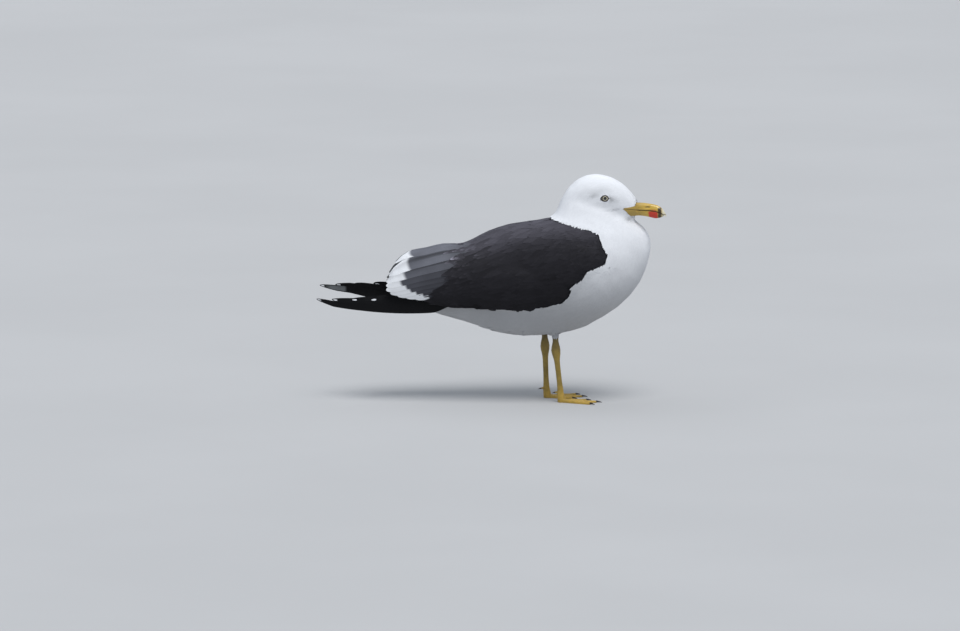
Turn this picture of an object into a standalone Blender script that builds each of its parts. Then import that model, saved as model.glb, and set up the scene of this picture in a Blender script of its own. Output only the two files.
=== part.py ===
"""A lesser black-backed gull standing at rest, life size, as named solids.

The bird faces +X, its left side is +Y and it stands on Z = 0. The origin is on the floor under the
middle of its length. Sizes are in millimetres and angles in degrees; mesh_object() turns them into metres.
"""

import math

import bmesh
import bpy
from mathutils import Matrix, Vector
from mathutils.bvhtree import BVHTree

MM = 0.001
SIDES = (("left", 1), ("right", -1))
GAP = 0.3  # the clearance between two pieces that touch
SOCKET_GAP = 0.6  # how far a piece is grown before it is cut from its neighbour

# Driving sizes of the body, in the middle plane
BACK_HEIGHT = 255.5  # the mantle, just behind the neck
BELLY_HEIGHT = 93.0
BREAST_FRONT = 226.4
BODY_HALF_WIDTH = 64.0
BODY_SQUARENESS = 2.15  # exponent of the superellipse sections

# The head, in a frame of its own: forward, to the bird's left, and up from its middle
HEAD_MIDDLE = Vector((150.0, 0.0, 290.0))
HEAD_YAW = -14.0  # turned to the bird's right
HEAD_SQUARENESS = 2.1
HEAD_WIDEST = 0.42
EYE_FORWARD = 16.9
EYE_UP = 2.0
EYE_SIDE = 18.9
EYE_RADIUS = 6.4

# The legs
LEG_SIDE = 22.0  # from the middle plane to the middle of each tarsus
HEEL_X = {"left": 76.5, "right": 91.5}
ANKLE_X = {"left": 78.5, "right": 98.0}
HEEL_HEIGHT = 75.0
ANKLE_HEIGHT = 19.0  # where the tarsus ends and the foot begins
THIGH_HEIGHT = 106.0
TOE_LENGTHS = {"inner": 38.0, "middle": 50.0, "outer": 47.0}
TOE_SPREAD = 25.0
FOOT_TURN = 5.0  # each foot points this far outwards
CLAW_LENGTH = 7.5
WEB_THICKNESS = 1.1
WEB_LIFT = 0.25  # the web stays clear of the floor
SOLE = 1.0  # how far a foot is modelled below the floor, before one cut makes its flat underside
HIND_TOE_HEIGHT = 15.0

# The folded wings and the tail
WING_FRONT = 160.0
PANEL_JOINT = -45.0  # where the coverts end and the tertials begin
TERTIAL_END = -150.0
WING_PROUD = 2.6  # how far the covert panel stands out from the body
WING_SUNK = 9.0
MANTLE_FRONT = (80.0, 146.0)  # on the ridge of the back and at the mantle's lower corners
MANTLE_SUNK = 10.0
SEAM = 1.8  # between the mantle and the wing coverts
TAIL_ROOT = -78.0
TAIL_END = -178.0
TAIL_HEIGHTS = (144.0, 138.0)  # at the root and at the end

# Key sections of trunk and neck, tail end first: the top point (x, z), the bottom point (x, z), the half
# width, and the height of the widest place as a share of the section.
TRUNK_SECTIONS = (
    ((-106.0, 157.0), (-106.0, 142.0), 9.0, 0.5),
    ((-86.0, 176.0), (-84.0, 126.5), 15.0, 0.5),
    ((-62.0, 199.0), (-58.0, 119.5), 23.0, 0.5),
    ((-38.0, 222.0), (-30.0, 110.5), 32.0, 0.5),
    ((-12.0, 238.5), (6.0, 99.0), 41.5, 0.5),
    ((20.0, 250.5), (44.0, BELLY_HEIGHT), 51.0, 0.5),
    ((52.0, BACK_HEIGHT), (88.0, 95.5), 59.5, 0.49),
    ((74.0, 258.5), (134.0, 107.5), BODY_HALF_WIDTH, 0.48),
    ((84.0, 261.5), (180.0, 134.0), BODY_HALF_WIDTH + 1.0, 0.46),
    ((89.0, 266.0), (212.0, 170.0), 58.0, 0.46),
    ((93.0, 273.0), (BREAST_FRONT, 214.0), 47.0, 0.47),
    ((96.0, 281.0), (223.2, 238.5), 38.5, 0.48),
    ((100.0, 288.0), (210.0, 253.5), 33.5, 0.5),
    ((112.0, 296.0), (192.0, 265.0), 25.0, 0.5),
)

# Key sections of the head: forward, top, bottom, half width.
HEAD_SECTIONS = (
    (-56.0, -12.0, -20.0, 8.0),
    (-51.5, -3.0, -24.0, 17.5),
    (-43.5, 10.5, -27.0, 24.0),
    (-31.5, 24.0, -29.0, 28.0),
    (-14.0, 33.0, -30.0, 29.0),
    (4.0, 34.0, -30.0, 27.5),
    (18.0, 31.0, -30.0, 24.2),
    (31.0, 25.2, -29.5, 20.4),
    (43.0, 16.6, -28.5, 16.0),
    (52.0, 7.2, -27.0, 12.4),
    (59.0, -2.0, -25.2, 9.6),
    (63.0, -6.5, -23.5, 7.8),
)

# Key sections of the two halves of the bill: forward, top, bottom, half width.
UPPER_BILL_SECTIONS = (
    (50.0, -6.0, -15.0, 7.0),
    (61.0, -5.2, -15.2, 7.2),
    (70.0, -5.6, -15.6, 6.2),
    (79.0, -6.6, -16.0, 5.4),
    (87.0, -8.2, -16.6, 4.8),
    (92.5, -11.0, -18.0, 4.1),
    (96.5, -15.0, -20.2, 3.1),
    (99.0, -19.4, -22.6, 2.0),
    (100.2, -23.4, -24.6, 0.8),
)
LOWER_BILL_SECTIONS = (
    (48.0, -15.4, -25.0, 6.8),
    (60.0, -15.6, -23.6, 6.6),
    (70.0, -16.0, -24.2, 5.4),
    (79.0, -16.4, -26.0, 4.6),
    (85.5, -16.9, -27.2, 4.2),
    (90.5, -17.8, -26.2, 3.5),
    (94.5, -19.7, -25.0, 2.3),
    (96.8, -21.4, -23.6, 1.0),
)

# Outlines of the folded wing, seen from the side, as heights over points along X.
COVERT_TOP = (
    (-45.0, 206.0),
    (0.0, 215.0),
    (60.0, 222.0),
    (110.0, 227.0),
    (144.0, 226.0),
    (156.0, 218.0),
    (160.0, 210.0),
)
COVERT_LOW = (
    (-45.0, 136.0),
    (0.0, 134.5),
    (55.0, 134.5),
    (90.0, 140.0),
    (112.0, 155.0),
    (133.0, 180.0),
    (152.0, 198.0),
    (160.0, 208.0),
)
RIDGE = (
    (-150.0, 175.0),
    (-138.0, 196.0),
    (-117.0, 213.5),
    (-95.0, 218.0),
    (-68.0, 224.5),
    (-45.0, 224.5),
    (-24.0, 232.0),
)
TERTIAL_LOW = ((-150.0, 151.0), (-140.0, 145.0), (-120.0, 142.0), (-90.0, 142.0), (-45.0, 136.0))
CLOAK_WIDTH = ((-148.0, 32.0), (-100.0, 40.5), (-45.0, 48.5), (0.0, 54.5), (60.0, 60.0), (160.0, 20.0))
CLOAK_MIDDLE = ((-148.0, 160.0), (-100.0, 166.0), (-45.0, 170.0), (60.0, 175.0), (160.0, 198.0))
CLOAK_DROP = 70.0  # how far below its middle the cloak of folded wings would close

# The primaries of each wing: the blade's upper and lower edge, and its distance from the middle plane.
PRIMARY_TOP = {
    "right": (
        (-248.0, 147.0),
        (-225.0, 152.5),
        (-199.0, 156.0),
        (-150.0, 166.0),
        (-100.0, 173.0),
        (-46.0, 177.0),
    ),
    "left": (
        (-243.5, 164.5),
        (-225.0, 168.0),
        (-199.0, 171.0),
        (-150.0, 169.8),
        (-100.0, 173.5),
        (-46.0, 177.0),
    ),
}
PRIMARY_LOW = {
    "right": (
        (-248.0, 145.0),
        (-225.0, 138.0),
        (-199.0, 135.0),
        (-150.0, 130.5),
        (-100.0, 129.5),
        (-46.0, 130.5),
    ),
    "left": (
        (-243.5, 162.5),
        (-225.0, 157.5),
        (-199.0, 153.0),
        (-150.0, 140.0),
        (-100.0, 132.0),
        (-46.0, 130.5),
    ),
}
PRIMARY_SIDE = (
    (-248.0, 10.0),
    (-205.0, 20.5),
    (-170.0, 24.5),
    (-148.0, 26.5),
    (-100.0, 33.0),
    (-46.0, 37.5),
)
TERTIAL_THICKNESS = 4.2
RIDGE_CLEARANCE = 1.0  # each wing keeps this far from the middle plane

# The evening of head, neck and trunk into one soft form
FORM_VOXEL = 4.0
FORM_SMOOTHING = 4  # passes
FORM_SHARE = 0.048  # of the remeshed faces that are kept

# The thigh's rings: height, half depth and half width
THIGH_RINGS = (
    (128.0, 15.0, 11.0),
    (114.0, 17.0, 12.0),
    (103.0, 12.5, 9.5),
    (97.0, 8.0, 7.0),
    (94.5, 4.5, 4.5),
)

# The planes that part the soft form, each across the bird through an upper and a lower point
THROAT_PLANE = ((98.0, 0.0, 277.0), (204.0, 0.0, 256.0))
CHEST_PLANE = ((84.0, 0.0, 260.5), (226.0, 0.0, 207.0))
RUMP_PLANE = ((-26.0, 0.0, 235.0), (-4.0, 0.0, 100.0))

# The toes' sections: height at the root and at the tip, and half the width at the root
TOE_ROOT_HEIGHT = 5.2
TOE_TIP_HEIGHT = 2.9
TOE_HALF_WIDTH = 3.3
HIND_TOE_LENGTH = 6.5
WEB_SCALLOP = 0.19  # how far the web's edge falls back between two toes

MATERIALS = {
    "white_plumage": ((0.80, 0.80, 0.79), 0.85),
    "slate_plumage": ((0.075, 0.072, 0.08), 0.8),
    "black_plumage": ((0.012, 0.012, 0.013), 0.6),
    "bill_yellow": ((0.72, 0.47, 0.07), 0.35),
    "leg_yellow": ((0.60, 0.40, 0.06), 0.5),
    "eye": ((0.55, 0.50, 0.33), 0.08),
    "claw_black": ((0.02, 0.018, 0.016), 0.4),
}


# ---------------------------------------------------------------- helpers


def clear_scene():
    for obj in list(bpy.data.objects):
        bpy.data.objects.remove(obj)


def make_materials():
    made = {}
    for name, (colour, roughness) in MATERIALS.items():
        material = bpy.data.materials.new(name)
        material.use_nodes = True
        shader = material.node_tree.nodes["Principled BSDF"]
        shader.inputs["Base Color"].default_value = (*colour, 1.0)
        shader.inputs["Roughness"].default_value = roughness
        made[name] = material
    return made


def mesh_object(name, points, faces, material):
    """An object from points in millimetres."""
    mesh = bpy.data.meshes.new(name)
    mesh.from_pydata([Vector(p) * MM for p in points], [], faces)
    mesh.materials.append(material)
    tool = bmesh.new()
    tool.from_mesh(mesh)
    bmesh.ops.triangulate(tool, faces=tool.faces)  # a bent quad can be read in two ways
    bmesh.ops.recalc_face_normals(tool, faces=tool.faces)
    tool.to_mesh(mesh)
    tool.free()
    mesh.shade_smooth()
    mesh.set_sharp_from_angle(angle=math.radians(40))
    obj = bpy.data.objects.new(name, mesh)
    bpy.context.scene.collection.objects.link(obj)
    return obj


def between(table, x):
    """Smooth interpolation in a table of (x, value) rows, sorted by x, and level beyond its ends."""
    if x <= table[0][0]:
        return table[0][1]
    if x >= table[-1][0]:
        return table[-1][1]
    i = max(k for k in range(len(table) - 1) if table[k][0] <= x)
    (x0, y0), (x1, y1) = table[i], table[i + 1]
    before = table[max(i - 1, 0)]
    after = table[min(i + 2, len(table) - 1)]
    span = x1 - x0
    slope0 = (y1 - before[1]) / (x1 - before[0]) * span
    slope1 = (after[1] - y0) / (after[0] - x0) * span
    t = (x - x0) / span
    return hermite(y0, y1, slope0, slope1, t)


def hermite(start, end, slope0, slope1, t):
    """A smooth step from start to end that leaves and arrives with these slopes."""
    square, cube = t * t, t * t * t
    rise = 3 * square - 2 * cube
    bend = slope0 * (cube - 2 * square + t) + slope1 * (cube - square)
    return start * (1 - rise) + end * rise + bend


def flatten(row):
    """A section's numbers in one list."""
    flat = []
    for value in row:
        flat.extend(value if isinstance(value, tuple) else (value,))
    return flat


def refine(rows, steps):
    """The key sections with steps - 1 smooth ones between each two."""
    rows = [flatten(r) for r in rows]
    made = []
    for i in range(len(rows) - 1):
        before, after = rows[max(i - 1, 0)], rows[min(i + 2, len(rows) - 1)]
        for k in range(steps):
            t = k / steps
            made.append([
                hermite(a, b, (b - p) / 2, (n - a) / 2, t)
                for p, a, b, n in zip(before, rows[i], rows[i + 1], after)
            ])
    made.append(rows[-1])
    return made


def power(value, exponent):
    return math.copysign(abs(value) ** exponent, value)


def section_ring(top, bottom, half_width, widest, squareness, count):
    """A superellipse in the plane of top, bottom and the Y direction, as (x, y, z) points."""
    top, bottom = Vector((top[0], 0.0, top[1])), Vector((bottom[0], 0.0, bottom[1]))
    middle = bottom.lerp(top, widest)
    ring = []
    for k in range(count):
        angle = 2 * math.pi * k / count
        rise, side = power(math.cos(angle), 2 / squareness), power(math.sin(angle), 2 / squareness)
        end = top if rise > 0 else bottom
        ring.append(middle + (end - middle) * abs(rise) + Vector((0.0, half_width * side, 0.0)))
    return ring


def loft(name, rings, material, place=None):
    """A closed skin through rings of equally many points, with a fan of triangles over each end."""
    count = len(rings[0])
    points = [p for ring in rings for p in ring]
    faces = []
    for r in range(len(rings) - 1):
        for k in range(count):
            a, b = r * count + k, r * count + (k + 1) % count
            faces.append((a, b, b + count, a + count))
    for ring, first in ((rings[0], 0), (rings[-1], (len(rings) - 1) * count)):
        centre = len(points)
        points.append(sum((Vector(p) for p in ring), Vector()) / count)
        faces.extend((first + k, first + (k + 1) % count, centre) for k in range(count))
    if place is not None:
        points = [place @ Vector(p) for p in points]
    return mesh_object(name, points, faces, material)


def bake(obj):
    """Gives obj the mesh that its modifiers make."""
    material = obj.data.materials[0]
    graph = bpy.context.evaluated_depsgraph_get()
    made = bpy.data.meshes.new_from_object(obj.evaluated_get(graph))
    obj.modifiers.clear()
    obj.data = made
    made.materials.clear()
    made.materials.append(material)
    for face in made.polygons:
        face.material_index = 0
    return obj


def combine(obj, other, operation):
    """Joins other to obj, or cuts it away, and removes other."""
    boolean = obj.modifiers.new(operation.lower(), "BOOLEAN")
    boolean.operation = operation
    boolean.solver = "EXACT"
    boolean.object = other
    bake(obj)
    bpy.data.objects.remove(other)
    return obj


def grown_copy(obj, by):
    """A cutter: obj with each vertex moved out along its normal."""
    mesh = obj.data.copy()
    tool = bmesh.new()
    tool.from_mesh(mesh)
    tool.normal_update()
    for vertex in tool.verts:
        vertex.co += vertex.normal * by * MM
    tool.to_mesh(mesh)
    tool.free()
    cutter = bpy.data.objects.new(obj.name + "_cutter", mesh)
    cutter.hide_render = True
    cutter.display_type = "WIRE"
    bpy.context.scene.collection.objects.link(cutter)
    return cutter


def seat(piece, *bodies):
    """Cuts from each body the room that piece takes, with the clearance round it."""
    for body in bodies:
        combine(body, grown_copy(piece, SOCKET_GAP), "DIFFERENCE")
        drop_crumbs(body)


def drop_crumbs(obj):
    """Keeps the largest connected piece of obj: a shallow cut can leave slivers beside its rim."""
    tool = bmesh.new()
    tool.from_mesh(obj.data)
    waiting, pieces = set(tool.verts), []
    while waiting:
        piece, front = set(), [waiting.pop()]
        while front:
            vertex = front.pop()
            piece.add(vertex)
            near = {edge.other_vert(vertex) for edge in vertex.link_edges} & waiting
            waiting -= near
            front.extend(near)
        pieces.append(piece)
    pieces.sort(key=len)
    crumbs = [vertex for piece in pieces[:-1] for vertex in piece]
    bmesh.ops.delete(tool, geom=crumbs, context="VERTS")
    tool.to_mesh(obj.data)
    tool.free()


def cut_off(obj, point, normal):
    """Removes what lies on the side of the plane that normal points to, and closes the cut."""
    tool = bmesh.new()
    tool.from_mesh(obj.data)
    everything = tool.verts[:] + tool.edges[:] + tool.faces[:]
    cut = bmesh.ops.bisect_plane(
        tool, geom=everything, dist=1e-7, plane_co=Vector(point) * MM, plane_no=normal, clear_outer=True
    )
    rim = [e for e in cut["geom_cut"] if isinstance(e, bmesh.types.BMEdge)]
    made = bmesh.ops.holes_fill(tool, edges=rim, sides=0)
    bmesh.ops.triangulate(tool, faces=made["faces"])
    bmesh.ops.recalc_face_normals(tool, faces=tool.faces)
    tool.to_mesh(obj.data)
    tool.free()
    return obj


def copy_of(obj, name):
    twin = obj.copy()
    twin.data = obj.data.copy()
    twin.name = name
    bpy.context.scene.collection.objects.link(twin)
    return twin


# ---------------------------------------------------------------- head, neck and trunk


def head_place():
    return Matrix.Translation(HEAD_MIDDLE) @ Matrix.Rotation(math.radians(HEAD_YAW), 4, "Z")


def thigh(word, side, material):
    """The feathered thigh, a short cone that swells out of the belly."""
    rings = []
    for height, length, width in THIGH_RINGS:
        lean = (height - THIGH_RINGS[-1][0]) * 0.25
        middle = Vector((HEEL_X[word] - 2.0 - lean, side * LEG_SIDE, height))
        rings.append([
            middle + Vector((length * math.cos(a), width * math.sin(a), 0.0))
            for a in (2 * math.pi * k / 16 for k in range(16))
        ])
    return loft("thigh", rings, material)


def body_form(material):
    """Head, neck and trunk as one soft form."""
    rings = [
        section_ring((tx, tz), (bx, bz), w, widest, BODY_SQUARENESS, 32)
        for tx, tz, bx, bz, w, widest in refine(TRUNK_SECTIONS, 2)
    ]
    form = loft("form", rings, material)
    rings = [
        section_ring((f, top), (f, low), w, HEAD_WIDEST, HEAD_SQUARENESS, 28)
        for f, top, low, w in refine(HEAD_SECTIONS, 2)
    ]
    combine(form, loft("head_form", rings, material, head_place()), "UNION")
    for word, side in SIDES:
        combine(form, thigh(word, side, material), "UNION")
    remesh = form.modifiers.new("even", "REMESH")
    remesh.mode = "VOXEL"
    remesh.voxel_size = FORM_VOXEL * MM
    smooth = form.modifiers.new("soften", "SMOOTH")
    smooth.factor = 0.5
    smooth.iterations = FORM_SMOOTHING
    fewer = form.modifiers.new("fewer", "DECIMATE")
    fewer.ratio = FORM_SHARE
    return bake(form)


def divide_body(form):
    """Parts the soft form with three thin cuts."""

    def keep(obj, plane, side):
        """Keeps the part before (1) or behind (-1) a plane."""
        upper, lower = Vector(plane[0]), Vector(plane[1])
        along = (lower - upper).normalized()
        ahead = Vector((-along.z, 0.0, along.x))
        cut_off(obj, upper + ahead * GAP / 2 * side, -ahead * side)

    head, neck, rump = copy_of(form, "head"), copy_of(form, "neck"), copy_of(form, "rump")
    form.name = "trunk"
    keep(head, THROAT_PLANE, 1)
    keep(neck, THROAT_PLANE, -1)
    keep(neck, CHEST_PLANE, 1)
    keep(form, CHEST_PLANE, -1)
    keep(form, RUMP_PLANE, 1)
    keep(rump, RUMP_PLANE, -1)
    return head, neck, form, rump


# ---------------------------------------------------------------- bill and eyes


def bill_ring(f, top, low, half_width, upper, count=12):
    """A section of half a bill: an arch over a flat cutting edge, or the same turned over."""
    ring = []
    arch = count - 4
    for k in range(arch + 1):
        angle = math.pi * k / arch
        side = power(math.cos(angle), 0.85) * half_width
        rise = math.sin(angle) ** 0.8
        ring.append(Vector((f, side, low + (top - low) * rise if upper else top - (top - low) * rise)))
    flat = low if upper else top
    for k in range(1, 4):
        ring.append(Vector((f, half_width * (k / 2 - 1), flat)))
    return ring


def bill(name, sections, upper, material):
    rings = [bill_ring(f, top, low, w, upper) for f, top, low, w in refine(sections, 2)]
    return loft(name, rings, material, head_place())


def eye(name, side, material):
    mesh = bpy.data.meshes.new(name)
    tool = bmesh.new()
    bmesh.ops.create_uvsphere(tool, u_segments=14, v_segments=8, radius=EYE_RADIUS * MM)
    middle = head_place() @ Vector((EYE_FORWARD, side * EYE_SIDE, EYE_UP))
    bmesh.ops.rotate(tool, verts=tool.verts, matrix=Matrix.Rotation(math.pi / 2, 3, "X"))
    bmesh.ops.translate(tool, verts=tool.verts, vec=middle * MM)
    tool.to_mesh(mesh)
    tool.free()
    mesh.materials.append(material)
    mesh.shade_smooth()
    obj = bpy.data.objects.new(name, mesh)
    bpy.context.scene.collection.objects.link(obj)
    return obj


# ---------------------------------------------------------------- wings and tail


def cloak_radius(x, angle):
    """Distance from the section's middle to the folded wings' outline, at an angle from the vertical."""
    rise = between(RIDGE, x) - between(CLOAK_MIDDLE, x)
    width = between(CLOAK_WIDTH, x)
    up, out = math.cos(angle), abs(math.sin(angle))
    return 1.0 / math.hypot(up / (rise if up > 0 else CLOAK_DROP), out / width)


class WingSurface:
    """The outer surface of the folded wings: a little proud of the body, and free behind it."""

    def __init__(self, form):
        tool = bmesh.new()
        tool.from_mesh(form.data)
        self.tree = BVHTree.FromBMesh(tool)
        tool.free()

    def point(self, x, angle, side, out=0.0):
        """The point at an angle from the vertical round the section's middle, moved out by out."""
        middle = Vector((x, 0.0, between(CLOAK_MIDDLE, x)))
        away = Vector((0.0, side * math.sin(angle), math.cos(angle)))
        radius = cloak_radius(x, angle)
        hit = self.tree.ray_cast((middle + away * 300.0) * MM, -away)[0]
        if hit is not None:
            radius = max(radius, (hit / MM - middle).length + WING_PROUD)
        return middle + away * (radius + out)

    def angle_at(self, x, height, side):
        """The angle at which the surface has this height, below the ridge."""
        low, high = 0.02, 2.6
        for _ in range(24):
            half = (low + high) / 2
            if self.point(x, half, side).z > height:
                low = half
            else:
                high = half
        return (low + high) / 2


def plate(name, columns, material):
    """A closed plate from columns of (outer point, inner point) pairs, each from edge to edge."""
    rings = [[pair[0] for pair in column] + [pair[1] for pair in reversed(column)] for column in columns]
    count = len(rings[0])
    faces = []
    for r in range(len(rings) - 1):
        for k in range(count):
            a, b = r * count + k, r * count + (k + 1) % count
            faces.append((a, b, b + count, a + count))
    for first in (0, (len(rings) - 1) * count):
        for k in range(count // 2 - 1):
            faces.append((first + k, first + k + 1, first + count - 2 - k, first + count - 1 - k))
    return mesh_object(name, [p for ring in rings for p in ring], faces, material)


def covert_panel(name, surface, side, material):
    """The wing coverts: a panel on the body's side, from the bend of the wing to the tertials."""
    columns, steps, rows = [], 14, 6
    for i in range(steps + 1):
        along = 0.5 - 0.5 * math.cos(math.pi * (i / steps) ** 0.8)
        x = PANEL_JOINT + (WING_FRONT - PANEL_JOINT) * along
        first = surface.angle_at(x, between(COVERT_TOP, x), side)
        last = surface.angle_at(x, between(COVERT_LOW, x), side)
        column = []
        for j in range(rows):
            v = j / (rows - 1)
            angle = first + (last - first) * v
            across = math.sin(math.pi * (0.08 + 0.84 * v)) ** 0.6
            pillow = across * math.sin(math.pi / 2 * min(1.0, (1 - along) * 9)) ** 0.5
            outer = surface.point(x, angle, side, out=-WING_PROUD * (1 - pillow))
            depth = WING_PROUD + WING_SUNK * max(pillow, 0.2)
            inner = surface.point(x, angle, side, out=-depth)
            column.append((outer, inner))
        columns.append(column)
    return plate(name, columns, material)


def mantle(name, surface, material):
    """The mantle and scapulars: one saddle over the back, between the two covert panels."""
    columns, steps, rows = [], 7, 11
    for i in range(steps + 1):
        u = i / steps
        column = []
        for j in range(rows):
            v = 2 * j / (rows - 1) - 1
            front = MANTLE_FRONT[0] + (MANTLE_FRONT[1] - MANTLE_FRONT[0]) * abs(v) ** 1.4
            x = PANEL_JOINT + (front - PANEL_JOINT) * u
            edge = surface.angle_at(x, between(COVERT_TOP, x) + SEAM, 1)
            pillow = (1 - v ** 4) * math.sin(math.pi * (0.2 + 0.78 * u)) ** 0.5
            side = 1 if v >= 0 else -1
            outer = surface.point(x, abs(v) * edge, side, out=0.5 - WING_PROUD)
            depth = WING_PROUD + MANTLE_SUNK * max(pillow, 0.2)
            inner = surface.point(x, abs(v) * edge, side, out=-depth)
            column.append((outer, inner))
        columns.append(column)
    return plate(name, columns, material)


def tertial_panel(name, surface, side, material):
    """Tertials and secondaries: a roof over the rump, from the ridge down over the primaries."""
    columns, steps, rows = [], 9, 8
    for i in range(steps + 1):
        x = TERTIAL_END + (PANEL_JOINT - GAP - TERTIAL_END) * i / steps
        radius = between(RIDGE, x) - between(CLOAK_MIDDLE, x)
        first = math.asin(min(1.0, RIDGE_CLEARANCE / radius))
        last = surface.angle_at(x, between(TERTIAL_LOW, x), side)
        edge = min(1.0, 0.35 + 1.3 * i / steps)
        column = []
        for j in range(rows):
            v = j / (rows - 1)
            angle = first + (last - first) * v
            thin = TERTIAL_THICKNESS * edge * (1.0 - 0.6 * v ** 3)
            column.append((surface.point(x, angle, side), surface.point(x, angle, side, out=-thin)))
        for k, (outer, inner) in enumerate(column):
            inner.y = side * max(abs(inner.y), RIDGE_CLEARANCE)
            column[k] = (outer, inner)
        columns.append(column)
    return plate(name, columns, material)


def primary_blade(name, word, side, material):
    """The primaries, folded into one blade that leans inwards at its top and narrows to its point."""
    tops, lows = PRIMARY_TOP[word], PRIMARY_LOW[word]
    tip, root = tops[0][0], tops[-1][0]
    columns, steps, rows = [], 12, 4
    for i in range(steps + 1):
        along = (i / steps) ** 0.85
        x = root + (tip - root) * (1 - along)
        top, low = between(tops, x), between(lows, x)
        thick = 1.2 + 2.4 * along
        column = []
        for j in range(rows):
            v = j / (rows - 1)
            bulge = math.sin(math.pi * v)
            y = between(PRIMARY_SIDE, x) + (0.06 * bulge - 0.22 * (1 - v)) * (top - low)
            half = thick / 2 * (0.45 + 0.55 * bulge)
            height = top + (low - top) * v
            column.append(tuple(Vector((x, side * (y + d), height)) for d in (half, -half)))
        columns.append(column)
    return plate(name, columns, material)


def tail(material):
    """The folded tail: a thin fan that widens to a softly rounded end."""
    rings, steps, count = [], 7, 12
    for i in range(steps + 1):
        t = i / steps
        x = TAIL_ROOT + (TAIL_END - TAIL_ROOT) * t
        rounding = 1.0 if t < 0.85 else math.sqrt(max(0.12, 1 - ((t - 0.85) / 0.15) ** 2 * 0.9))
        half_width = (13.0 + 8.5 * t) * rounding
        half_height = (4.2 - 3.0 * t) * (0.6 + 0.4 * rounding)
        middle = TAIL_HEIGHTS[0] + (TAIL_HEIGHTS[1] - TAIL_HEIGHTS[0]) * t
        rings.append([
            Vector((
                x,
                half_width * power(math.cos(a), 0.8),
                middle + half_height * power(math.sin(a), 0.8) - 1.5 * math.cos(a) ** 2,
            ))
            for a in (2 * math.pi * k / count for k in range(count))
        ])
    return loft("tail", rings, material)


# ---------------------------------------------------------------- legs and feet


def tube(name, rows, material, smoothing=2, count=10):
    """An upright limb from rows of height, x, y, half depth and half width."""
    rings = [
        [
            Vector((x + depth * math.cos(a), y + width * math.sin(a), z))
            for a in (2 * math.pi * k / count for k in range(count))
        ]
        for z, x, y, depth, width in refine(rows, smoothing)
    ]
    return loft(name, rings, material)


def shank(name, word, side, material):
    """The bare lower thigh, from inside the feathers down to the heel."""
    x, y = HEEL_X[word], side * LEG_SIDE
    rows = (
        (HEEL_HEIGHT + GAP, x + 0.2, y, 6.5, 4.6),
        (HEEL_HEIGHT + 5.0, x, y, 5.8, 4.1),
        (HEEL_HEIGHT + 12.0, x - 0.2, y, 4.2, 3.6),
        (HEEL_HEIGHT + 20.0, x - 0.6, y, 4.4, 3.8),
        (THIGH_HEIGHT, x - 1.4, y, 5.4, 4.4),
    )
    return tube(name, rows, material)


def tarsus(name, word, side, material):
    y = side * LEG_SIDE
    rows = []
    for height, depth, width in (
        (ANKLE_HEIGHT, 4.3, 3.1),
        (ANKLE_HEIGHT + 9.0, 3.8, 2.7),
        (HEEL_HEIGHT - 30.0, 3.8, 2.6),
        (HEEL_HEIGHT - 15.0, 4.2, 2.9),
        (HEEL_HEIGHT - 6.0, 6.0, 4.3),
        (HEEL_HEIGHT, 6.6, 4.7),
    ):
        down = (HEEL_HEIGHT - height) / (HEEL_HEIGHT - ANKLE_HEIGHT)
        rows.append((height, HEEL_X[word] + (ANKLE_X[word] - HEEL_X[word]) * down, y, depth, width))
    return tube(name, rows, material)


def toe_rings(length):
    """Sections of a toe along +X: arched above, swollen at its joints, and SOLE deeper than the floor."""
    rings, steps = [], 5
    for i in range(steps + 1):
        t = i / steps
        swell = 1.0 + 0.10 * math.cos(t * 4 * math.pi)
        width = TOE_HALF_WIDTH * (1.0 - 0.42 * t) * swell
        height = (TOE_ROOT_HEIGHT + (TOE_TIP_HEIGHT - TOE_ROOT_HEIGHT) * t ** 0.8) * swell
        arch = [
            Vector((length * t, width * power(math.cos(a), 0.8), height * math.sin(a) ** 0.7))
            for a in (math.pi * k / 6 for k in range(7))
        ]
        arch.extend(Vector((length * t, width * (k / 2 - 1) * 0.9, -SOLE)) for k in range(1, 4))
        rings.append(arch)
    return rings


def web_outline():
    """The web's edge in the foot's plane: along the outer toes and scalloped between the toes."""
    corners = [
        (math.radians(TOE_SPREAD), TOE_LENGTHS["inner"] - 2.0),
        (0.0, TOE_LENGTHS["middle"] - 4.0),
        (-math.radians(TOE_SPREAD), TOE_LENGTHS["outer"] - 2.0),
    ]
    points = [Vector((-2.0, 2.5)), Vector((-2.0, -2.5))]
    edge = []
    steps = 6
    for (a0, r0), (a1, r1) in zip(corners, corners[1:]):
        for k in range(steps + (a1 == corners[-1][0])):
            t = k / steps
            angle, radius = a0 + (a1 - a0) * t, r0 + (r1 - r0) * t
            reach = radius * (1.0 - WEB_SCALLOP * math.sin(math.pi * t))
            edge.append(Vector((reach * math.cos(angle), reach * math.sin(angle))))
    return points + list(reversed(edge))


def hind_toe_rings():
    """The short raised hind toe, from inside the ankle back to its claw."""
    rings = []
    for t in (-0.3, 0.0, 0.4, 0.8, 1.0):
        middle = Vector((-2.5 - HIND_TOE_LENGTH * t, 1.6 * t, HIND_TOE_HEIGHT - 1.4 * t))
        width, height = 1.7 - 0.5 * t, 1.9 - 0.6 * t
        rings.append([
            middle + Vector((0.0, width * math.cos(a), height * math.sin(a)))
            for a in (2 * math.pi * k / 8 for k in range(8))
        ])
    return rings


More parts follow.
